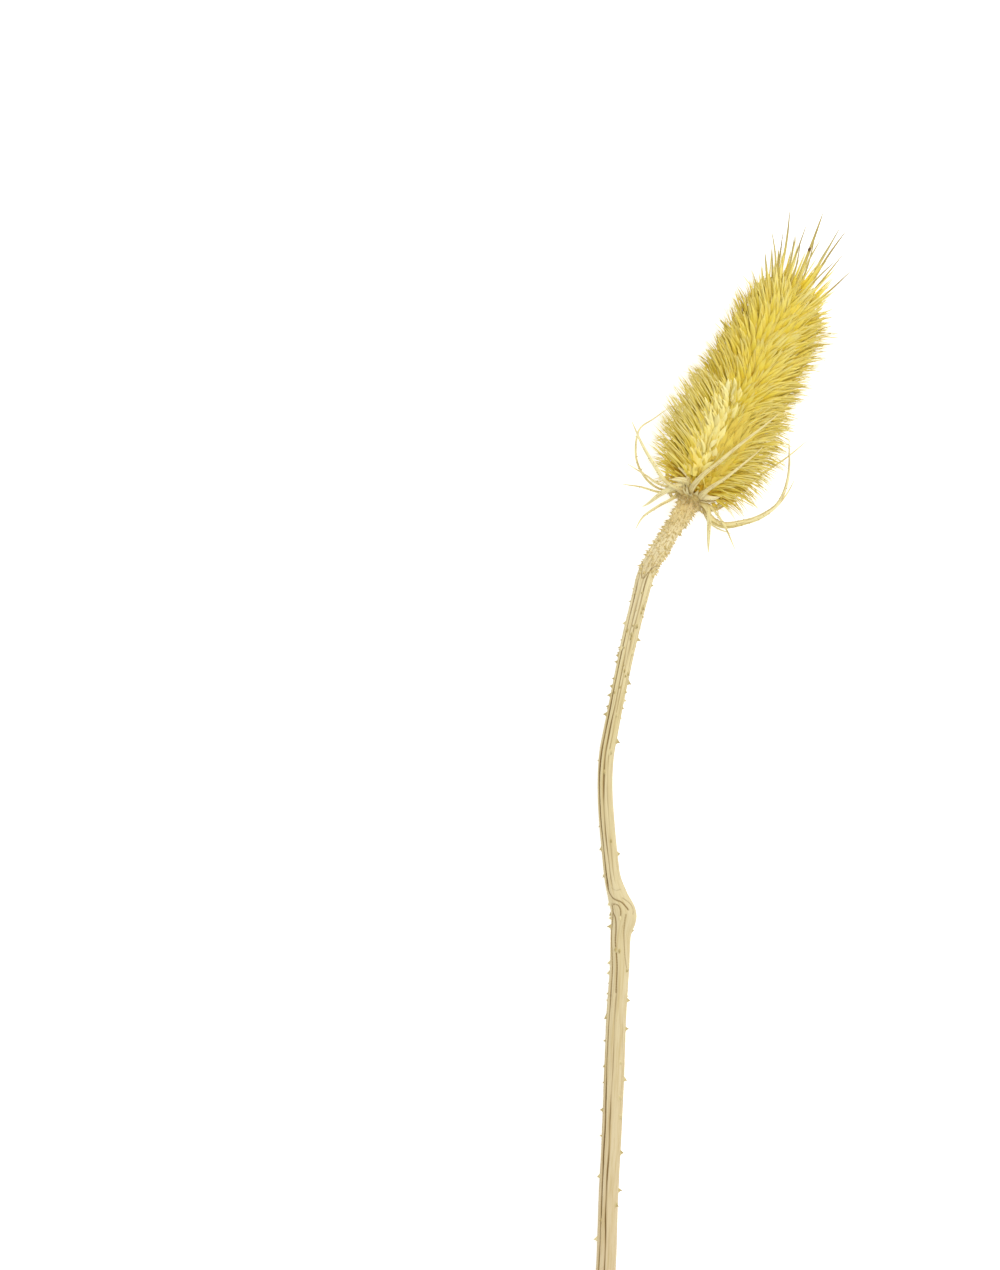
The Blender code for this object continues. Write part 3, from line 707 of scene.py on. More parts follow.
def locks(shares, turns, seed):
    """A smooth field over the head, from -1 to 1, by which neighbouring awns lean together."""
    along = shares * CORE_LENGTH / MM
    field = np.sin(along / 4.1 + 2 * np.cos(turns * 2 + seed) + seed)
    field += np.sin(turns * 5 + along / 6.7 + seed * 2.3) + 0.6 * np.sin(turns * 9 - along / 3.3 + seed * 4.1)
    return field / 2.6


def half_turn_degrees(turns):
    """Turns in degrees, from -180 to 180: 0 is right and 90 is up to the camera."""
    return np.degrees(np.arctan2(np.sin(turns), np.cos(turns)))


def calm_patch(shares, turns):
    """How much of the smooth ochre patch low on the right of the front lies here, from 0 to 1."""
    away = half_turn_degrees(turns) - at_share(CALM_MIDDLE, shares)
    return np.exp(-(((shares - CALM_SHARE) / CALM_REACH) ** 2) - (away / CALM_SPREAD) ** 2)


def side_painted_light(shares, turns):
    """Painted light and shade: how much paler awns are on the lit right of the head, below its top, and how
    much deeper in colour on the shaded left."""
    sideways = np.cos(turns)
    paleness = np.where(sideways > 0, RIGHT_PAINTED_LIGHT, LEFT_PAINTED_SHADE) * sideways
    return paleness * np.interp(shares, [0.05, 0.15, 0.6, 0.8], [0, 1, 1, 0])


def awn_tilts(shares, turns, spread):
    """Tilts in radians: as on the solids, swept more to the tip on the side that faces up, in locks."""
    facing = np.clip(np.sin(turns), 0, 1) ** 1.6 * np.interp(shares, [0, 0.1, 0.8, 1], [1.5, 1.3, 0.8, 0])
    tilts = at_share(AWN_TILTS, shares) + FRONT_SWEEP * facing
    tilts += 9 * locks(shares, turns, 1.0) + rng.normal(0, spread, len(shares))
    tilts += (CALM_TILT - tilts) * calm_patch(shares, turns)
    return np.radians(np.minimum(tilts, STEEPEST_TILT))


def awn_recurves(shares, turns, spread):
    """How far awns bend outwards, in radians: most low on the head and on its right side."""
    right = np.clip(np.cos(turns), 0, 1) * np.interp(shares, [0.1, 0.3, 0.8, 0.95], [0, 1, 1, 0])
    bends = at_share(AWN_RECURVE, shares) + RIGHT_RECURVE * right + rng.normal(0, spread, len(shares))
    return np.radians(bends * (1 - 0.8 * calm_patch(shares, turns)))


def awn_lengths(shares, turns, low, high):
    """Lengths of awns: longer on the right and low on the left of the front; at the very top many are
    short."""
    right = np.clip(np.cos(turns), 0, 1) * np.interp(shares, [0, 0.1, 0.7, 0.88], [0.3, 1, 1, 0])
    left_arcs = np.exp(-(((half_turn_degrees(turns) - ARCS_TURN) / ARCS_SPREAD) ** 2))
    left_arcs *= np.interp(shares, [0, 0.05, 0.4, 0.65], [0.5, 1, 1, 0])
    longer = 1 + RIGHT_LENGTHENING * right + LEFT_ARC_LENGTHENING * left_arcs
    short = rng.random(len(shares)) < SHORT_TOP_SHARE
    ragged = np.where(short, np.interp(shares, [0.8, 0.9, 1], [1, 0.56, 0.36]), 0.95)
    ragged = np.where(shares < 0.8, 1, ragged)
    return at_share(AWN_LENGTHS, shares) * MM * longer * ragged * rng.uniform(low, high, len(shares))


def awn_sway(shares, turns):
    """Sideways bend of the awns: in locks, and fanned out to both sides from the middle of the front."""
    side = -2 * np.cos(turns) * np.clip(np.sin(turns), 0, 1)
    fan = np.where(side > 0, FAN_LEFT, FAN_RIGHT) * side
    fan *= np.interp(shares, [0, 0.05, 0.6, 0.9, 1], [0.6, 1, 0.8, 0.4, 0])
    return fan * (1 - calm_patch(shares, turns)) + 0.2 * locks(shares, turns, 3.0)


def clump_guides():
    """One guide for each clump of awns: where it stands, and how its awns lean and bend."""
    shares = even_shares(CLUMP_COUNT)
    turns = np.arange(CLUMP_COUNT) * GOLDEN_ANGLE + 0.7
    return {
        "shares": shares,
        "turns": turns,
        "tilts": awn_tilts(shares, turns, 5),
        "lengths": awn_lengths(shares, turns, 0.94, 1.1),
        "recurves": awn_recurves(shares, turns, 6),
        "sway": awn_sway(shares, turns) + rng.normal(0, 0.09, CLUMP_COUNT),
        "tone": rng.random(CLUMP_COUNT),
    }


def gathered_awns(guides, shares, turns, rings, low, high, loose):
    """Lines of awns that gather in clumps: each takes after its nearest guide and closes up to it towards the
    tip. Gives the lines, how far along each ring is, the lengths and the tone of each awn's clump."""
    along = (shares[:, None] - guides["shares"]) * CORE_LENGTH
    around = ((turns[:, None] - guides["turns"] + math.pi) % (2 * math.pi) - math.pi) * CORE_RADIUS
    nearest = np.argmin(along**2 + around**2, axis=1)
    guide = {key: values[nearest] for key, values in guides.items()}
    count = len(shares)
    lengths = guide["lengths"] * rng.uniform(low, high, count)
    tilts = guide["tilts"] + rng.normal(0, math.radians(loose), count)
    recurves = guide["recurves"] + rng.normal(0, math.radians(1.5 * loose), count)
    sway = guide["sway"] + rng.normal(0, loose / 60, count)
    form = (lengths, tilts, recurves, rings, sway)
    (points, sides, backs), t = curved_awns(shares, turns, *form)
    leaders = curved_awns(guide["shares"], guide["turns"], *form)[0][0]
    points = points + (leaders - points) * (CLUMP_GATHER * t**1.5)[:, None]
    return (points, sides, backs), t, lengths, guide["tone"]


def head_scales(guides, material):
    """The awned scales: a keeled blade, broad near the root, that draws out into a stiff awn."""
    shares = even_shares(SCALE_COUNT)
    turns = spiral(SCALE_COUNT, 0, 0.03)
    left_out = 0.75 * calm_patch(shares, turns) + np.interp(shares, [0.8, 0.92, 1], [0, 0.45, 0.6])
    kept = rng.random(SCALE_COUNT) > left_out
    shares, turns = shares[kept], turns[kept]
    count = len(shares)
    lines, t, lengths, tone = gathered_awns(guides, shares, turns, SCALE_RINGS, 0.88, 1.1, 3)
    blade = np.interp(t, [0, 0.15, 0.35, 0.5, 0.68, 1], [0.8, 1.0, 1.0, 0.5, 0, 0])
    awn = np.interp(t, [0, 0.35, 0.5, 0.68, 0.9, 1], [0, 0, 0.24, 0.37, 0.31, 0.07])
    size = rng.uniform(0.8, 1.15, count)[:, None]
    widths = SCALE_HALF_WIDTH * (blade + awn * at_share(AWN_BREADTHS, shares)[:, None]) * size
    thick = SCALE_THICKNESS * np.interp(t, [0, 0.3, 0.6, 1], [0.8, 1.0, 0.7, 0.1]) * size
    shade = np.clip(0.5 * tone + 0.5 * rng.random(count) + 0.4 * calm_patch(shares, turns), 0, 1)
    shade = shade * np.interp(shares, [0.5, 0.8], [1, 0.75]) + np.interp(shares, [0, 0.1], [0.4, 0])
    # Painted light and shade: awns paler on the lit right of the head and deeper on the shaded left.
    pale = 0.5 * (1 - tone) + 0.5 * rng.random(count) + side_painted_light(shares, turns)
    shades = (t, np.clip(pale, 0, 1), np.clip(shade, 0, 1))
    make_strands("head_scales", lines, widths, thick, SCALE_SECTION, shades, material, lengths,
                 replaced="seed_head")


def lying_blades(name, shares, turns, half_widths, lengths, lifts, tilts, material, tone, loose=0.08):
    """Broad pointed blades that lie close over the core in layers, their paleness within the given range."""
    count = len(shares)
    sway = awn_sway(shares, turns) + rng.normal(0, loose, count)
    bends = np.radians(rng.normal(14, 7, count))
    lines, t = curved_awns(shares, turns, lengths, tilts, bends, BLADE_RINGS, sway, lifts)
    profile = np.interp(t, [0, 0.2, 0.45, 0.68, 0.86, 1], [0.5, 0.75, 1.0, 0.8, 0.34, 0.03])
    widths = half_widths[:, None] * profile
    thick = np.full(widths.shape, BLADE_THICKNESS)
    pale = rng.uniform(*tone, count)
    shade = 0.85 * rng.random(count) + 0.4 * calm_patch(shares, turns) + np.interp(shares, [0, 0.1], [0.5, 0])
    shades = (0.35 + 0.5 * t, pale, np.clip(shade, 0, 1))
    make_strands(name, lines, widths, thick, BLADE_SECTION, shades, material, lengths)


def front_blades(name, shares, turns, tilts, lengths, half_widths, lifts, material, tone, loose=0.08):
    """Blades over the front. Turns and tilts are given as a mean and a spread in degrees, sizes and lifts as
    ranges in millimetres."""
    count = len(shares)
    turns = np.radians(rng.normal(*turns, count))
    tilts = np.radians(rng.normal(*tilts, count))
    lengths = rng.uniform(*lengths, count) * MM
    half_widths = rng.uniform(*half_widths, count) * MM
    lifts = rng.uniform(*lifts, count) * MM
    lying_blades(name, shares, turns, half_widths, lengths, lifts, tilts, material, tone, loose)


def head_blades(material, cream, ochre):
    """The closed layer of blades that the awns stand out of, and the broad pale ones on the lower front."""
    count = BLADE_COUNT
    shares = even_shares(count)
    turns = spiral(count, 2.1, 0.05)
    tilts = np.interp(shares, [0, 0.06, 0.2, 0.6, 1], [5, 35, 56, 62, 84]) + rng.normal(0, 4, count)
    tilts = np.radians(tilts)
    lengths = rng.uniform(9, 11.5, count) * np.interp(shares, [0, 0.1, 0.86, 1], [0.55, 0.9, 1, 0.3]) * MM
    lifts = rng.uniform(0.2, 1.6, count) * MM
    half_widths = BLADE_HALF_WIDTH * rng.uniform(0.75, 1.2, count)
    lying_blades("head_blades", shares, turns, half_widths, lengths, lifts, tilts, material, (0.2, 0.9))
    shares = np.clip(rng.normal(0.25, 0.09, FRONT_SCALE_COUNT), 0.05, 0.5)
    front_blades("head_front_scales", shares, (110, 8), (62, 8), (4, 6.5), (0.65, 1.15), (3.4, 5.8), cream,
                 (0.2, 1.0), 0.3)
    shares = rng.uniform(0.04, 0.24, PAPERY_COUNT)
    front_blades("head_papery_scales", shares, (108, 7), (72, 5), (8, 11), (1.1, 1.6), (3.0, 4.6), cream,
                 (0.0, 0.6), 0.15)
    shares = np.clip(rng.normal(0.17, 0.085, CALM_BLADE_COUNT), 0.03, 0.4)
    turns = (at_share(CALM_MIDDLE, shares), 14)
    front_blades("head_calm_blades", shares, turns, (77, 3), (9, 13), (1.08, 1.62), (2.2, 4.0), ochre,
                 (0.1, 0.7))


def arc_awns(name, shares, turns, lengths, tilts, bends, sway, half_widths, lifts, material, pale):
    """Long single awns that lie over the rest in arcs. Tilts and bends in degrees and sway are given as a
    mean and a spread, lengths in millimetres, the rest as ranges, in millimetres for sizes."""
    count = len(shares)
    lengths = lengths * MM
    tilts = np.radians(rng.normal(*tilts, count))
    bends = np.radians(rng.normal(*bends, count))
    sway = rng.normal(*sway, count)
    half_widths = rng.uniform(*half_widths, count) * MM
    lifts = rng.uniform(*lifts, count) * MM if lifts else 0.0
    lines, t = curved_awns(shares, turns, lengths, tilts, bends, ARC_RINGS, sway, lifts)
    widths = half_widths[:, None] * np.interp(t, [0, 0.3, 0.8, 1], [0.8, 1, 0.7, 0.08])
    shades = (0.3 + 0.7 * t, rng.uniform(*pale, count), 0.6 * rng.random(count))
    make_strands(name, lines, widths, 0.8 * widths, ARC_SECTION, shades, material, lengths)


def head_arcs(material):
    """The comb of long arcs low on the left, and the finer curls low on the right."""
    count = COMB_COUNT
    shares = 0.03 + 0.36 * (np.arange(count) + 0.5) / count
    turns = np.radians(112 + 62 * (np.arange(count) * GOLDEN_SHARE % 1))
    lengths = np.interp(shares, [0.03, 0.2, 0.4], [14, 16.5, 13]) * rng.uniform(0.9, 1.08, count)
    tilts = (np.interp(shares, [0.03, 0.15, 0.4], [18, 34, 44]), 3)
    sway = (0.5 * np.sin(turns), 0.04)
    arc_awns("head_comb", shares, turns, lengths, tilts, (34, 5), sway, (0.17, 0.28), (0.4, 2.9), material,
             (0.3, 0.85))
    count = CURL_COUNT
    shares = rng.uniform(0.02, 0.42, count)
    turns = np.radians(rng.uniform(2, 62, count))
    lengths = rng.uniform(9.5, 13.5, count) * np.interp(shares, [0, 0.1], [0.8, 1])
    tilts = (np.interp(shares, [0, 0.1, 0.4], [2, 22, 44]), 7)
    sway = (-0.3 * np.sin(turns), 0.16)
    arc_awns("head_curls", shares, turns, lengths, tilts, (62, 14), sway, (0.2, 0.32), (0.8, 2.8), material,
             (0.5, 1.0))


def head_fine_awns(guides, material):
    """Finer awns between the scales, which close the head's outline into a fringe."""
    count = FINE_AWN_COUNT
    shares = np.clip(even_shares(count) + rng.normal(0, 0.004, count), 0.004, 0.998)
    turns = spiral(count, 1.3, 0.06)
    lines, t, lengths, _tone = gathered_awns(guides, shares, turns, FINE_RINGS, 0.7, 1.16, 7)
    profile = np.interp(t, [0, 0.5, 0.85, 1], [1.0, 0.85, 0.6, 0.08])
    widths = FINE_HALF_WIDTH * profile * rng.uniform(0.7, 1.3, count)[:, None]
    # Painted light and shade: awns paler on the lit right of the head and deeper on the shaded left.
    pale = np.clip(rng.random(count) + side_painted_light(shares, turns), 0, 1)
    shades = (t, pale, rng.random(count))
    make_strands("head_fine_awns", lines, widths, widths, FINE_SECTION, shades, material,
                 lengths)


def head_crown(material):
    """Separate pointed blades round the head's top, between the body and the tuft."""
    count = CROWN_COUNT
    shares = rng.uniform(0.8, 0.985, count)
    turns = spiral(count, 0, 0.2)
    lengths = rng.uniform(11.5, 17, count) * np.interp(np.cos(turns), [-1, 0, 1], [1.12, 1, 1])
    tilts = (np.interp(shares, [0.8, 0.9, 1], [56, 66, 84]), 4)
    sway = (0.6 * awn_sway(shares, turns), 0.08)
    arc_awns("head_crown", shares, turns, lengths, tilts, (6, 6), sway, (0.34, 0.6), None, material,
             (0.3, 1.0))


def head_tuft(material):
    """The longest awns at the top, each with a slight bend of its own. Gives their lines and directions."""
    t = np.linspace(0, 1, TUFT_RINGS)
    rows = np.array(TUFT)
    count = len(rows)
    roots = head_points(np.column_stack([np.full(count, TUFT_ROOT), rows[:, :2]]))[:, None]
    tips = head_points(rows[:, 2:5] + [TUFT_REACH, 0, 0])[:, None]
    bend = rng.normal(0, 0.9, (count, 3))[:, None] * MM
    centres = roots + (tips - roots) * t[:, None] + bend * np.sin(math.pi * t)[:, None]
    ahead = unit(np.gradient(centres, axis=1))
    sides = unit(np.cross(ahead, ABOVE))
    widths = rows[:, 5:] * MM * np.interp(t, [0, 0.3, 0.7, 0.9, 1], [0.8, 0.95, 0.66, 0.38, 0.12])
    shades = (t, rng.random(count), rng.random(count))
    lengths = np.linalg.norm(tips - roots, axis=-1)[:, 0]
    lines = (centres, sides, np.cross(ahead, sides))
    make_strands("head_tuft", lines, widths, widths, round_section(6, 0.7), shades, material,
                 lengths)
    return centres, ahead


def tuft_scab(centres, ahead, material):
    """The dark broken point on the broadest awn of the tuft."""
    awn = int(np.argmax([row[5] for row in TUFT]))
    ring = round(SCAB_SHARE * (centres.shape[1] - 1))
    outward = unit(np.array([ABOVE - 0.6 * ACROSS]))
    foot = centres[awn, ring][None] + SCAB_RAISE * outward
    size = (np.array([SCAB_HEIGHT]), np.array([SCAB_HALF_WIDTH]))
    spikes("tuft_scab", foot, outward, ahead[awn, ring][None], *size, material, "yellow_awns")


def head_core(material):
    """The body that the scales stand on, just inside their roots."""
    shares = 0.5 - 0.5 * np.cos(np.linspace(0.02, math.pi - 0.02, CORE_RINGS))
    turns = np.linspace(0, 2 * math.pi, CORE_SIDES, endpoint=False)
    points, outward = core_spots(*np.meshgrid(shares, turns, indexing="ij"), CORE_INSET)
    make_piece("head_core", over_floor(points + outward * CORE_PADDING)[None], material)


# The collar and its long bracts


def long_bract(name, half_width, rows, material, replaced):
    """One long bract: a keeled strip with a broad foot that draws out to a fine tip. It mostly shows its
    back. Gives its line, sides, backs and half widths."""
    front = name.startswith("front")
    reach = FRONT_TWIST if front else BRACT_TWIST
    foot_length = FRONT_FOOT if front else BRACT_FOOT
    line = head_points(smooth_line(rows, 0.7))
    length = walked_along(line)[-1]
    t = np.linspace(0, 1, len(line))
    ahead = unit(np.gradient(line, axis=0))
    flat = frames_along(line[::-1], np.cross(line[-1] - line[-2], (0, 0, 1)))[1][::-1]
    twist = np.radians(rng.uniform(-reach, reach) * (1 - t) + rng.uniform(-reach, reach) * t)[:, None]
    sides = flat * np.cos(twist) + np.cross(ahead, flat) * np.sin(twist)
    backs = np.cross(ahead, sides)
    narrow = half_width * MM * (1 - t) ** 0.62 * (0.86 + 0.5 * t)
    foot = 1 + 0.9 * np.exp(-((t * length / foot_length) ** 2))
    widths = narrow * foot + 0.16 * MM * t * (1 - t) + 0.03 * MM
    thick = np.maximum(0.14 * MM, np.minimum(widths, narrow + 0.03 * MM) * 0.5)
    shades = (t, rng.random(1), np.array([0.8 if front else 0.0]))
    apart = np.array([[40 * rng.random(), 0]])
    lines = (line[None], sides[None], backs[None])
    make_strands(f"bract_{name}", lines, widths[None], thick[None], BRACT_SECTION, shades, material,
                 np.array([length]), apart, replaced, BRACT_SOFTNESS)
    return line, sides, backs, widths


def spikes(name, feet, outward, lean, heights, half_widths, material, slot, around=6, rings=5, stretch=1.5):
    """Many small prickles: a broad foot, drawn up into a point that leans over."""
    t = np.linspace(0, 1, rings)[:, None]
    side = unit(np.cross(outward, lean))
    lean = unit(np.cross(side, outward))[:, None]
    rise = t * heights[:, None, None] + SPIKE_SUNK * (t - 1)
    centres = feet[:, None] + outward[:, None] * rise + lean * (SPIKE_LEAN * t**2 * heights[:, None, None])
    t = t[:, 0]
    widths = half_widths[:, None] * np.interp(t, [0, 0.25, 0.6, 1], [1.5, 0.8, 0.36, 0.04])
    deep = widths * np.interp(t, [0, 0.3, 1], [stretch, 1.3 * stretch, 1])
    shades = (t, rng.random(len(feet)), rng.random(len(feet)))
    lines = (centres, side[:, None], lean)
    make_strands(name, lines, widths, deep, round_section(around), shades, material,
                 softness=SPIKE_SOFTNESS)


def involucre(material, thorn_material, bristle_material):
    """The collar's ring and all long bracts with their prickles."""
    feet, outward, lean = [], [], []
    for name, (half_width, rows) in LONG_BRACTS.items():
        replaced = None if feet else "involucre"
        line, sides, backs, widths = long_bract(name, half_width, rows, material, replaced)
        number = int(np.linalg.norm(line[-1] - line[0]) / MM / 2.2)
        for place in rng.uniform(0.03, 0.72, number):
            i = int(place * (len(line) - 1))
            turn = rng.choice([-1, 1]) * rng.uniform(0.3, 1.0)
            outward.append(unit(sides[i] * turn - backs[i] * rng.uniform(0.2, 1.0)))
            feet.append(line[i] + sides[i] * turn * widths[i] * 0.7 - backs[i] * widths[i] * 0.15)
            lean.append(line[min(i + 2, len(line) - 1)] - line[i])
    heights = rng.uniform(0.4, 1.1, len(feet)) * MM
    widths = np.full(len(feet), 0.13 * MM)
    spikes("bract_prickles", np.array(feet), np.array(outward), unit(np.array(lean)), heights, widths,
           thorn_material, "pale_bract", 5, 4)
    collar(material)
    bract_feet(material)
    collar_bristles(bristle_material)


def collar(material):
    """The ring that the bracts grow from, lumpy with their crowded roots."""
    turns = np.linspace(0, 2 * math.pi, COLLAR_SIDES, endpoint=False)
    t = np.linspace(0, 1, COLLAR_RINGS)[:, None]
    along = np.repeat(-1.4 + 3.3 * t, len(turns), 1)
    bulge = 0.76 + 0.28 * np.sin(math.pi * np.clip(t * 1.1, 0, 1))
    lumps = 1 + 0.05 * np.cos(turns * 17) * np.sin(math.pi * t) + 0.03 * np.cos(turns * 5 + 1)
    radii = COLLAR_RADIUS / MM * bulge * lumps
    rows = np.stack([along, np.cos(turns) * radii, np.sin(turns) * radii], axis=-1)
    grain = np.full(rows.shape, (0.04, 0.3, 0.0))
    uv = np.stack([np.repeat(turns[None] * 5, len(t), 0), along], axis=-1)
    make_piece("bract_collar", head_points(rows)[None], material, None, grain, uv)


def bract_feet(material):
    """Short broad cream feet of bracts that stand out from the collar and bend up over the head's base."""
    count = BRACT_FEET
    outward = away_from_axis(spiral(count, 0, 0.1))
    t = np.linspace(0, 1, FOOT_RINGS)
    lengths = rng.uniform(5, 9, count) * MM
    start = HEAD_BASE + rng.uniform(-0.8, 0.9, count)[:, None] * MM * ALONG + outward * FEET_RADIUS
    lying = rng.uniform(-18, 14, count)[:, None]
    rise = np.radians(lying + rng.uniform(10, 46, count)[:, None] * (t[:-1] + t[1:]) / 2)
    steps = np.cos(rise)[..., None] * outward[:, None] + np.sin(rise)[..., None] * ALONG
    lines = grown(start, steps, lengths, unit(np.cross(outward, ALONG)))
    widths = rng.uniform(0.6, 1.15, count)[:, None] * MM
    widths = widths * np.interp(t, [0, 0.3, 0.7, 1], [1, 0.85, 0.4, 0.03])
    thick = np.maximum(widths * 0.5, 0.1 * MM)
    shades = (0.15 + 0.6 * t, rng.random(count), 0.4 * rng.random(count))
    make_strands("bract_feet", lines, widths, thick, FOOT_SECTION, shades, material, lengths)


def collar_bristles(material):
    """Short stiff bristles round the collar's lower edge, which fan out over the top of the neck."""
    count = COLLAR_BRISTLES
    outward = away_from_axis(rng.uniform(0, 2 * math.pi, count))
    along = rng.uniform(-3.2, 0.6, count)
    radii = np.interp(along, [-3.2, -1.4, 0.6], [3.3, 3.8, 4.9]) * MM
    feet = HEAD_BASE + along[:, None] * MM * ALONG + outward * radii[:, None]
    direction = outward * rng.uniform(0.5, 1, count)[:, None]
    direction = unit(direction - ALONG * rng.uniform(0.2, 1, count)[:, None])
    heights = rng.uniform(0.9, 2.3, count) * MM
    widths = rng.uniform(0.10, 0.2, count) * MM
    lean = np.broadcast_to(ALONG, outward.shape)
    spikes("collar_bristles", feet, direction, lean, heights, widths, material, "pale_bract", 5, 4)


# The stem


def stem_rows():
    """Rows (x, y, z, radius) along the stem in metres, with the frame of each: ahead, right and up."""
    top = HEAD_BASE + STEM_INTO_HEAD * ALONG
    route = np.vstack([np.array(STEM_ROUTE) * MM, [*top, STEM_TOP_RADIUS * MM]])
    rows = smooth_line(route, STEM_SPACING)
    ahead, right = frames_along(rows[:, :3], (1, 0, 0))
    return rows, ahead, right, np.cross(right, ahead)


def groove_depths(y):
    """Depth of each groove at each height: from the low part over the smooth knot to the part near the
    head."""
    heights = [-84, -77, -46, -42, -20, 5, 60, 78]
    depths = []
    for _angle, _width, low, middle, high in STEM_GROOVES:
        at_heights = [low, 0.1 * low, 0.1 * middle, middle, middle, high, high, 0.2 * high]
        depths.append(np.interp(y, heights, at_heights))
    return depths


def stem_surface(rows, turns):
    """Share of the radius at each row and turn, and how deep in a furrow each point lies, which sets its
    painted shade.
    """
    y = rows[:, 1:2] / MM
    shape = np.ones((len(rows), len(turns)))
    furrow = np.zeros_like(shape)
    for k, ((angle, width, *_rest), depth) in enumerate(zip(STEM_GROOVES, groove_depths(y))):
        wander = 3.2 * np.sin(y / 17 + k * 1.7) + 1.6 * np.sin(y / 5.3 + k * 2.9)
        wander += 0.7 * np.sin(y / 2.3 + k * 4.3)
        breadth = width * (1 + 0.25 * np.sin(y / 11 + k)) * np.interp(y, [-90, -60], [0.74, 1])
        away = (np.degrees(turns) - (angle + wander) + 180) % 360 - 180
        depth = depth * (0.75 + 0.25 * np.sin(y / 23 + 1.3 * k)) * (0.82 + 0.18 * np.sin(y / 3.1 + 2.1 * k))
        dip = np.exp(-((away / breadth) ** 2))
        lip = np.exp(-(((np.abs(away) - 1.7 * breadth) / (0.7 * breadth)) ** 2))
        shape += depth * (0.25 * lip - dip)
        furrow += depth / FURROW_DEPTH * dip
    return shape, np.clip(furrow, 0, 1)


def stem_creases(rows, turns):
    """Depth in millimetres and painted shade of the creases, each with a raised lip on its upper side, and
    the knot's swelling to the right."""
    y = rows[:, 1:2] / MM
    across = np.degrees(turns) * MM_PER_DEGREE
    relief = np.zeros((len(rows), len(turns)))
    dark = np.zeros_like(relief)
    for depth, width, crease_shade, points in STEM_CREASES:
        line = smooth_line([(angle * MM_PER_DEGREE, height, 0) for angle, height in points], 0.3)
        near = np.full(relief.shape, np.inf)
        above = np.full(relief.shape, np.inf)
        for a, b, _ in line:
            near = np.minimum(near, (across - a) ** 2 + (y - b) ** 2)
            above = np.minimum(above, (across - a - width) ** 2 + (y - b - 2.2 * width) ** 2)
        groove = np.exp(-near / width**2)
        relief += LIP_SHARE * depth * np.exp(-above / (1.6 * width) ** 2) - depth * groove
        dark = np.maximum(dark, crease_shade * groove)
    swelling = 0.5 * np.exp(-(((y + 56.5) / 4.2) ** 2)) * np.exp(-(((np.degrees(turns) - 20) / 46) ** 2))
    return relief + swelling, dark


def stem(material):
    """The furrowed stem as one fine mesh."""
    rows, _ahead, right, up = stem_rows()
    turns = np.linspace(-math.pi, math.pi, STEM_SIDES, endpoint=False)
    shape, furrow = stem_surface(rows, turns)
    relief, dark = stem_creases(rows, turns)
    y = rows[:, 1:2] / MM
    warts = np.sin(y * 3.1) * np.sin(turns * 11 + 2) * np.sin(turns * 5 + y * 1.7)
    shape = shape + np.interp(y, [52, 66, 92], [0.008, 0.07, 0.09]) * warts
    outward = np.cos(turns)[:, None] * right[:, None] + np.sin(turns)[:, None] * up[:, None]
    points = rows[:, None, :3] + outward * (shape * rows[:, 3:4] + relief * MM)[..., None]
    grain = np.empty_like(points)
    # Painted shade: the colour darkens with the depth of furrows and creases.
    grain[..., 0] = np.maximum(furrow * 0.9, dark)
    grain[..., 1] = np.interp(y, [-190, 92], [0, 1])
    grain[..., 2] = np.interp(y, [62, 70], [0, 1])
    uv = np.empty((*shape.shape, 2))
    uv[..., 0] = turns * 3.2
    uv[..., 1] = walked_along(rows[:, :3])[:, None] / MM
    points = over_floor(points, STEM_SOFTNESS)
    make_piece("stem_straw", points[None], material, "stem", grain, uv)


def stem_spikes(name, places, turns, heights, half_widths, material, stretch=1.5):
    """Prickles that stand on the stem's surface at rows and turns."""
    rows, ahead, right, up = stem_rows()
    index = np.clip(places.astype(int), 0, len(rows) - 2)
    shape = np.array([stem_surface(rows[i:i + 1], np.array([a]))[0][0, 0] for i, a in zip(index, turns)])
    outward = np.cos(turns)[:, None] * right[index] + np.sin(turns)[:, None] * up[index]
    feet = rows[index, :3] + outward * (rows[index, 3] * shape)[:, None]
    upright = unit(outward + ahead[index] * rng.normal(0, 0.12, (len(index), 1)))
    spikes(name, feet, upright, -ahead[index], heights, half_widths, material, "straw_stem", stretch=stretch)


def rib_turns(count):
    """Turns that lie on ribs, between the grooves."""
    centres = np.sort([float(groove[0]) for groove in STEM_GROOVES])
    middles = (centres + np.roll(centres, -1)) / 2
    middles[-1] += 180
    return np.radians(rng.choice(middles, count) + rng.normal(0, 3, count))


def prickles(material, bristle_material):
    """The prickles that the photo shows, small ones on the sides that it doesn't, and the neck's dense
    thorns."""
    y = stem_rows()[0][:, 1] / MM
    limit = int(np.argmin(np.abs(y - BRISTLES_FROM_Y)))
    seen = np.array(SEEN_PRICKLES)
    places = np.argmin(np.abs(y - seen[:, :1]), axis=1)
    widths = rng.uniform(0.42, 0.62, len(seen)) * MM
    heights = SEEN_PRICKLE_STRETCH * seen[:, 2] * MM
    stem_spikes("stem_prickles", places, np.radians(seen[:, 1]), heights, widths, material, 1.7)
    places = rng.random(PRICKLES) ** 0.6 * limit
    turns = rib_turns(PRICKLES)
    kept = (np.sin(turns) < 0) | (y[places.astype(int)] > 16)
    places, turns = places[kept], turns[kept]
    heights = rng.uniform(0.5, 1.1, len(places)) * MM
    widths = rng.uniform(0.24, 0.38, len(places)) * MM
    stem_spikes("stem_small_prickles", places, turns, heights, widths, material, 1.7)
    places = limit + (len(y) - 6 - limit) * rng.random(BRISTLES)
    heights = rng.uniform(0.7, 1.7, BRISTLES) * MM
    turns = rng.uniform(-math.pi, math.pi, BRISTLES)
    widths = rng.uniform(0.2, 0.34, BRISTLES) * MM
    stem_spikes("stem_bristles", places, turns, heights, widths, bristle_material)


# Stage, light and camera


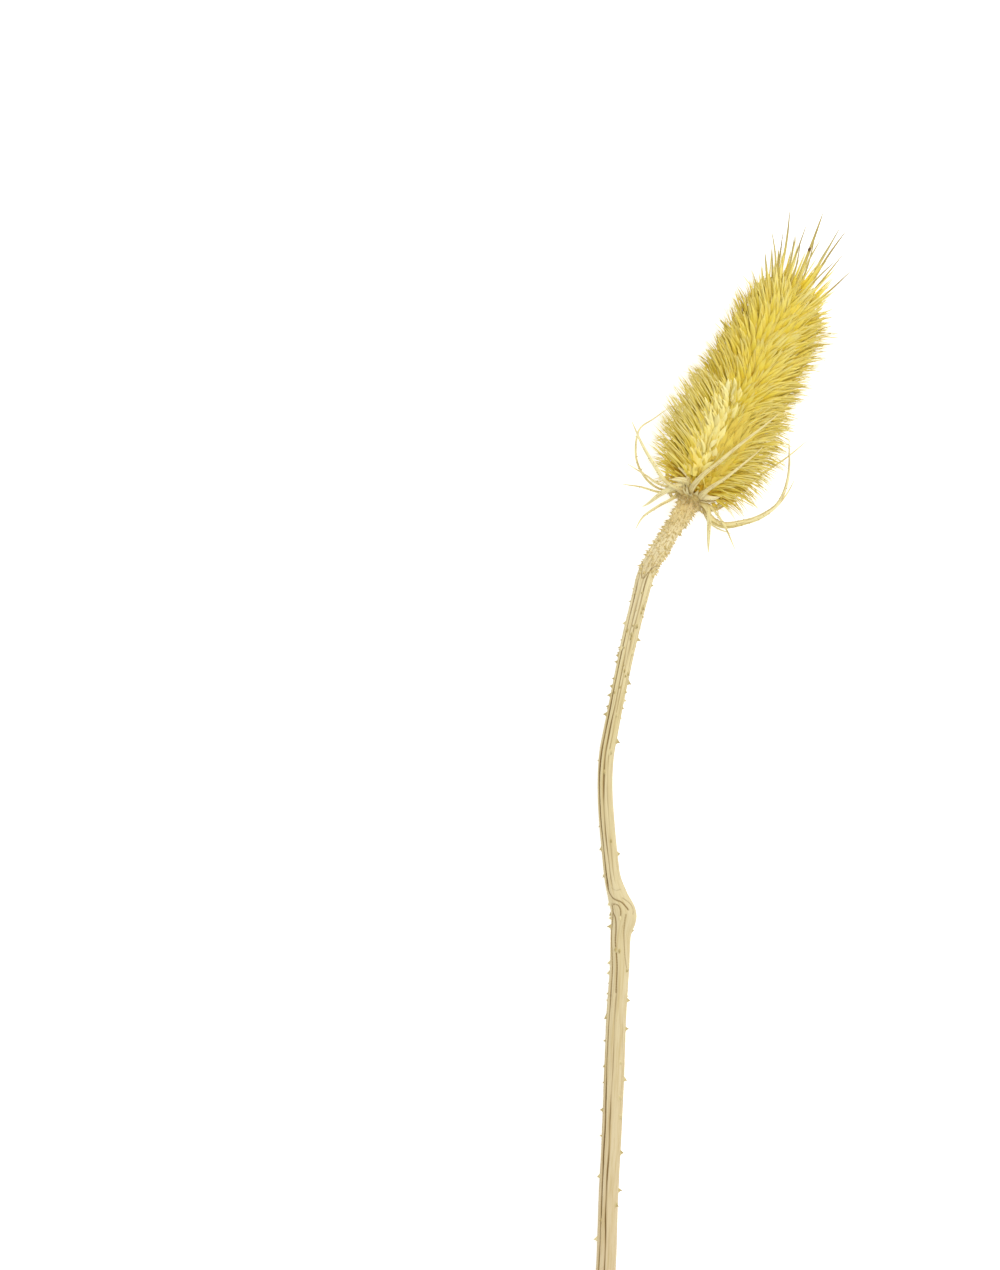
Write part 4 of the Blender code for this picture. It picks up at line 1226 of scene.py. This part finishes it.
def floor():
    mesh = bpy.data.meshes.new("floor")
    corners = [(x * FLOOR_HALF, y * FLOOR_HALF, 0) for x, y in ((-1, -1), (1, -1), (1, 1), (-1, 1))]
    mesh.from_pydata(corners, [], [(0, 1, 2, 3)])
    mesh.materials.append(floor_material())
    made = bpy.data.objects.new("floor", mesh)
    bpy.context.scene.collection.objects.link(made)


def lights():
    """A white room and one large soft lamp."""
    world = bpy.data.worlds.new("studio")
    world.use_nodes = True
    background = world.node_tree.nodes["Background"]
    background.inputs["Color"].default_value = (1, 1, 1, 1)
    background.inputs["Strength"].default_value = ROOM_GLOW
    bpy.context.scene.world = world
    light = bpy.data.lights.new("key", "AREA")
    light.shape = "SQUARE"
    light.size = LAMP_SIZE
    light.energy = LAMP_POWER
    made = bpy.data.objects.new("key", light)
    made.location = LAMP_PLACE
    made.rotation_mode = "QUATERNION"
    made.rotation_quaternion = (LAMP_TARGET - LAMP_PLACE).to_track_quat("-Z", "Y")
    bpy.context.scene.collection.objects.link(made)
    bpy.context.scene.view_settings.view_transform = "Standard"


def camera():
    data = bpy.data.cameras.new("camera")
    data.sensor_width = SENSOR_WIDTH
    data.lens = SENSOR_WIDTH * CAMERA_DISTANCE / FRAME_LONG_SIDE
    data.clip_start = 0.01
    data.clip_end = 20
    made = bpy.data.objects.new("camera", data)
    made.location = (*FRAME_CENTRE, FOCUS_HEIGHT + CAMERA_DISTANCE)
    bpy.context.scene.collection.objects.link(made)
    bpy.context.scene.camera = made


def main():
    camera()
    lights()
    floor()
    scales, fine, cream, ochre, tuft = (awn_material(name) for name in AWN_COLOURS)
    thorn, bristle, scab = (prickle_material(name) for name in PRICKLE_COLOURS)
    head_core(head_core_material())
    guides = clump_guides()
    head_scales(guides, scales)
    head_blades(scales, cream, ochre)
    head_fine_awns(guides, fine)
    head_arcs(fine)
    head_crown(fine)
    tuft_lines = head_tuft(tuft)
    involucre(bract_material(), thorn, bristle)
    stem(stem_material())
    prickles(thorn, bristle)
    tuft_scab(*tuft_lines, scab)


main()
